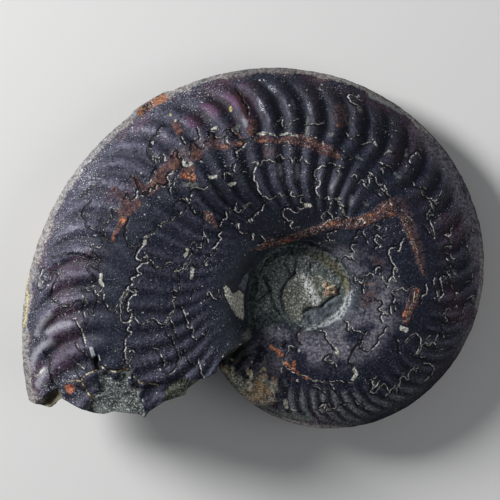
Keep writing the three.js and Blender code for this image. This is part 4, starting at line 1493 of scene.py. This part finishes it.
def umbilicus_layers(look, colour):
    """The umbilicus and its wall, with painted shade on the wall's left side, painted light on its
    right and a painted highlight on the lower right rim; also returns the sediment's mask.
    """
    sunny = attribute("lit_wall")
    bowl = attribute("bowl") + look.ragged * (1.5 - sunny * 1.2)
    wall = between(bowl, -2.6, -1.0) * between(bowl, 0.3, 0.0) * attribute("wall")
    # Painted shade on the wall's left side and painted light on its right, greenish and olive
    shady = blend(look.speckle, (0.006, 0.011, 0.010), (0.045, 0.060, 0.056))
    lit_wall = blend(look.speckle, (0.030, 0.030, 0.019), (0.15, 0.14, 0.085))
    colour = blend(wall * 0.9, colour, blend(sunny, shady, lit_wall))
    in_bowl = between(bowl, -0.1, 0.3)
    grit = between(look.sand + look.grain * 0.4, 0.2, 0.65)
    sandy = tinted(blend(grit, (0.215, 0.24, 0.225), (0.072, 0.086, 0.080)), [
        (look.cloudy, 0.46, 0.62, 0.8, (0.062, 0.080, 0.082)),
        (look.medium, 0.50, 0.58, 0.65, (0.045, 0.058, 0.058)),
        (look.fine, 0.54, 0.61, 0.55, (0.40, 0.42, 0.40)),
        (look.gritty, 0.47, 0.39, 0.8, (0.020, 0.026, 0.025)),
    ])
    colour = blend(in_bowl, colour, sandy)
    centre_colour = tinted(blend(grit, (0.215, 0.225, 0.19), (0.090, 0.095, 0.078)), [
        (look.medium, 0.50, 0.58, 0.6, (0.10, 0.10, 0.075)),
        (look.fine, 0.54, 0.61, 0.55, (0.58, 0.59, 0.53)),
        (look.gritty, 0.46, 0.39, 0.75, (0.040, 0.042, 0.034)),
    ])
    colour = look.lay(colour, "centre", 1.1, -0.1, 0.5, 0.9, centre_colour)
    slate_colour = blend(between(look.medium, 0.4, 0.6), (0.032, 0.040, 0.050), (0.10, 0.115, 0.13))
    colour = look.lay(colour, "slate", 0.2, -0.1, 0.3, 0.85, slate_colour)
    ridge = look.mask("ridge", 0.6, -0.2, 0.8) * between(look.gritty, 0.38, 0.50)
    colour = blend(ridge * 0.75, colour, (0.56, 0.57, 0.56))
    dusty = look.mask("rim_dust", 0.5, -0.3, 0.3) * look.speckle
    colour = blend(dusty * 0.65, colour, (0.16, 0.18, 0.165))
    # Painted highlight along the lower right rim of the umbilicus
    rim = look.mask("rim", 1.0, -0.15, 0.5) * between(look.gritty, 0.36, 0.48)
    rim_highlight_colour = blend(look.speckle, (0.14, 0.155, 0.16), (0.31, 0.33, 0.335))
    colour = blend(rim * 0.85, colour, rim_highlight_colour)
    seams = look.mask("bowl_groove", 0.35, 0.30, 0.65) * between(look.medium, 0.32, 0.44)
    colour = blend(seams * 0.85, colour, (0.014, 0.020, 0.019))
    crystal_colour = blend(between(look.grain, 0.45, 0.6), (0.17, 0.07, 0.035), (0.42, 0.36, 0.25))
    return look.lay(colour, "crystal", 0.3, 0.0, 0.3, 0.9, crystal_colour), in_bowl


def fracture_layers(look, colour):
    """The broken mouth, with painted shade over a hollow and in a pit; also returns the mask of its
    bare sediment.
    """
    face = between(attribute("broken"), 0.3, 0.8)
    tone = between(noise(look.place, 260.0, 4.0, 0.65), 0.4, 0.6)
    face_colour = blend(tone, (0.040, 0.040, 0.042), (0.135, 0.14, 0.128))
    face_colour = blend(look.speckle * 0.4, face_colour, (0.20, 0.205, 0.19))
    # Painted shade on the fracture face in the hollow below the mouth
    hollow_shade = between(attribute("hollow_shade"), -1.0, 0.5)
    face_colour = blend(hollow_shade * 0.85, face_colour, (0.016, 0.015, 0.009))
    colour = blend(face, colour, face_colour)
    matrix = look.mask("matrix", 0.5, -0.2, 0.2)
    grit = between(look.sand + look.grain * 0.4, 0.2, 0.7)
    matrix_colour = tinted(blend(grit, (0.170, 0.182, 0.178), (0.050, 0.060, 0.057)), [
        (look.medium, 0.44, 0.36, 1.0, (0.022, 0.026, 0.025)),
        (look.fine, 0.56, 0.63, 0.7, (0.42, 0.43, 0.41)),
    ])
    colour = blend(matrix, colour, matrix_colour)
    green = look.mask("green", 0.5, -0.2, 0.3)
    green_colour = blend(grit, (0.17, 0.18, 0.145), (0.035, 0.038, 0.027))
    colour = blend(green * 0.9, colour, green_colour)
    wedge_colour = blend(between(look.cloudy, 0.4, 0.6), (0.10, 0.065, 0.018), (0.17, 0.165, 0.125))
    wedge_colour = blend(look.speckle * 0.5, wedge_colour, (0.025, 0.022, 0.012))
    colour = look.lay(colour, "wedge", 0.3, -0.1, 0.4, 0.9, wedge_colour)
    chip_colour = blend(look.speckle, (0.22, 0.050, 0.022), (0.50, 0.20, 0.12))
    colour = look.lay(colour, "chip", 0.3, -0.1, 0.2, 0.9, chip_colour)
    near_crack = attribute("crack") + (look.gritty - 0.5) * 0.4
    colour = blend(between(near_crack, 0.60, 0.78) * 0.85, colour, (0.007, 0.006, 0.005))
    filling = between(near_crack, 0.76, 0.90) * between(look.medium, 0.40, 0.48)
    filling_colour = blend(between(look.grain, 0.46, 0.58), (0.46, 0.42, 0.31), (0.22, 0.125, 0.045))
    colour = blend(filling * 0.9, colour, filling_colour)
    colour = look.lay(colour, "shard", 0.1, -0.1, 0.1, 0.9, (0.36, 0.38, 0.41))
    # Painted shade in the pit
    colour = look.lay(colour, "pit", 0.2, 0.25, 0.45, 0.95, (0.005, 0.006, 0.004))
    return colour, matrix + green


def stone_material():
    material = bpy.data.materials.new("fossil stone")
    material.use_nodes = True
    tree = material.node_tree
    tree.nodes.clear()
    Signal.tree = tree
    look = Texture(Signal(tree.nodes.new("ShaderNodeTexCoord").outputs["Object"]))

    colour = mould_colour(look)
    colour, chip = keel_colour(look, colour)
    colour = add_specks(look, colour)
    colour, remnants = remnant_layers(look, colour)
    colour, groove, calcite = suture_layers(look, colour)
    colour, in_bowl = umbilicus_layers(look, colour)
    colour, bare = fracture_layers(look, colour)

    coarse = (look.grain - 0.5) * 0.15 + (look.cloudy - 0.5) * 0.15
    height = (look.fine - 0.5) * 0.10 + coarse * (1 - attribute("sleek") * 0.6)
    height = height - groove * 0.26 + calcite * 0.12
    height = height + remnants * ((look.gritty - 0.5) * 0.35 + 0.06)
    height = height + (in_bowl + bare) * ((0.5 - look.sand) * 0.12 + (look.grain - 0.5) * 0.25)
    bump = tree.nodes.new("ShaderNodeBump")
    bump.inputs["Strength"].default_value = 1.0
    bump.inputs["Distance"].default_value = 0.001
    feed(bump.inputs["Height"], height)

    shader = tree.nodes.new("ShaderNodeBsdfPrincipled")
    tree.links.new(colour.socket, shader.inputs["Base Color"])
    matte = calculate("MAXIMUM", remnants + chip, in_bowl)
    matte = calculate("MAXIMUM", matte, bare + attribute("broken"))
    glossy = between(noise(look.place, 150.0, 2.0), 0.5, 0.62) * between(attribute("crest"), -0.2, 0.5)
    glossy = glossy * 0.19 + between(attribute("shiny"), -0.1, 0.5) * 0.34
    roughness = between(matte, 0.0, 1.0, 0.56, 0.85) - glossy + (look.grain - 0.5) * 0.3
    feed(shader.inputs["Roughness"], roughness)
    shader.inputs["Specular IOR Level"].default_value = 0.24
    shader.inputs["Specular Tint"].default_value = (0.80, 0.84, 1.0, 1.0)
    tree.links.new(bump.outputs[0], shader.inputs["Normal"])
    output = tree.nodes.new("ShaderNodeOutputMaterial")
    tree.links.new(shader.outputs[0], output.inputs[0])
    return material


# Floor, lights and camera
def plain_material(name, colour, roughness):
    material = bpy.data.materials.new(name)
    material.use_nodes = True
    shader = material.node_tree.nodes["Principled BSDF"]
    shader.inputs["Base Color"].default_value = (*colour, 1.0)
    shader.inputs["Roughness"].default_value = roughness
    return material


def make_floor():
    mesh = bpy.data.meshes.new("floor")
    half = 3.0
    corners = [(-half, -half, 0), (half, -half, 0), (half, half, 0), (-half, half, 0)]
    mesh.from_pydata(corners, [], [(0, 1, 2, 3)])
    mesh.materials.append(plain_material("floor", (0.62, 0.62, 0.61), 0.9))
    floor = bpy.data.objects.new("floor", mesh)
    bpy.context.scene.collection.objects.link(floor)


def make_light(name, place, target, size, power, colour=(1, 1, 1)):
    light = bpy.data.lights.new(name, "AREA")
    light.shape = "DISK"
    light.size = size
    light.energy = power
    light.color = colour
    lamp = bpy.data.objects.new(name, light)
    lamp.location = place
    lamp.rotation_euler = (Vector(target) - Vector(place)).to_track_quat("-Z", "Y").to_euler()
    bpy.context.scene.collection.objects.link(lamp)


def make_camera(shift, lean):
    """Looks down on the disc along the coil's axis, framed as the photograph is."""
    data = bpy.data.cameras.new("camera")
    data.lens = 150.0
    data.sensor_width = 36.0
    data.clip_start = 0.01
    data.clip_end = 20.0
    distance = PHOTO_SIZE * MM_PER_PIXEL * data.lens / data.sensor_width
    middle = in_photo([(PHOTO_SIZE / 2, PHOTO_SIZE / 2)])[0]
    turn = Matrix([list(map(float, row)) for row in lean]).to_4x4()
    place = Matrix.Translation(Vector(shift) / 1000) @ turn
    place = place @ Matrix.Translation(Vector((middle[0], middle[1], distance)) / 1000)
    camera = bpy.data.objects.new("camera", data)
    camera.matrix_world = place
    bpy.context.scene.collection.objects.link(camera)
    bpy.context.scene.camera = camera


def light_scene():
    world = bpy.data.worlds.new("studio")
    world.use_nodes = True
    background = world.node_tree.nodes["Background"]
    background.inputs["Color"].default_value = (0.9, 0.92, 1.0, 1.0)
    background.inputs["Strength"].default_value = 0.14
    bpy.context.scene.world = world
    target = (0, 0, 0.01)
    make_light("key", (-0.56, 0.32, 0.32), target, 0.28, 9.4)
    make_light("fill", (0.5, -0.1, 0.4), target, 0.5, 0.9)


skin = build_skin()
ammonite, shift, lean = make_mesh(skin)
ammonite.data.materials.append(stone_material())
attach(ammonite, "root")
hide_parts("ammonite")
make_floor()
make_camera(shift, lean)
light_scene()
bpy.context.scene.view_settings.view_transform = "Standard"
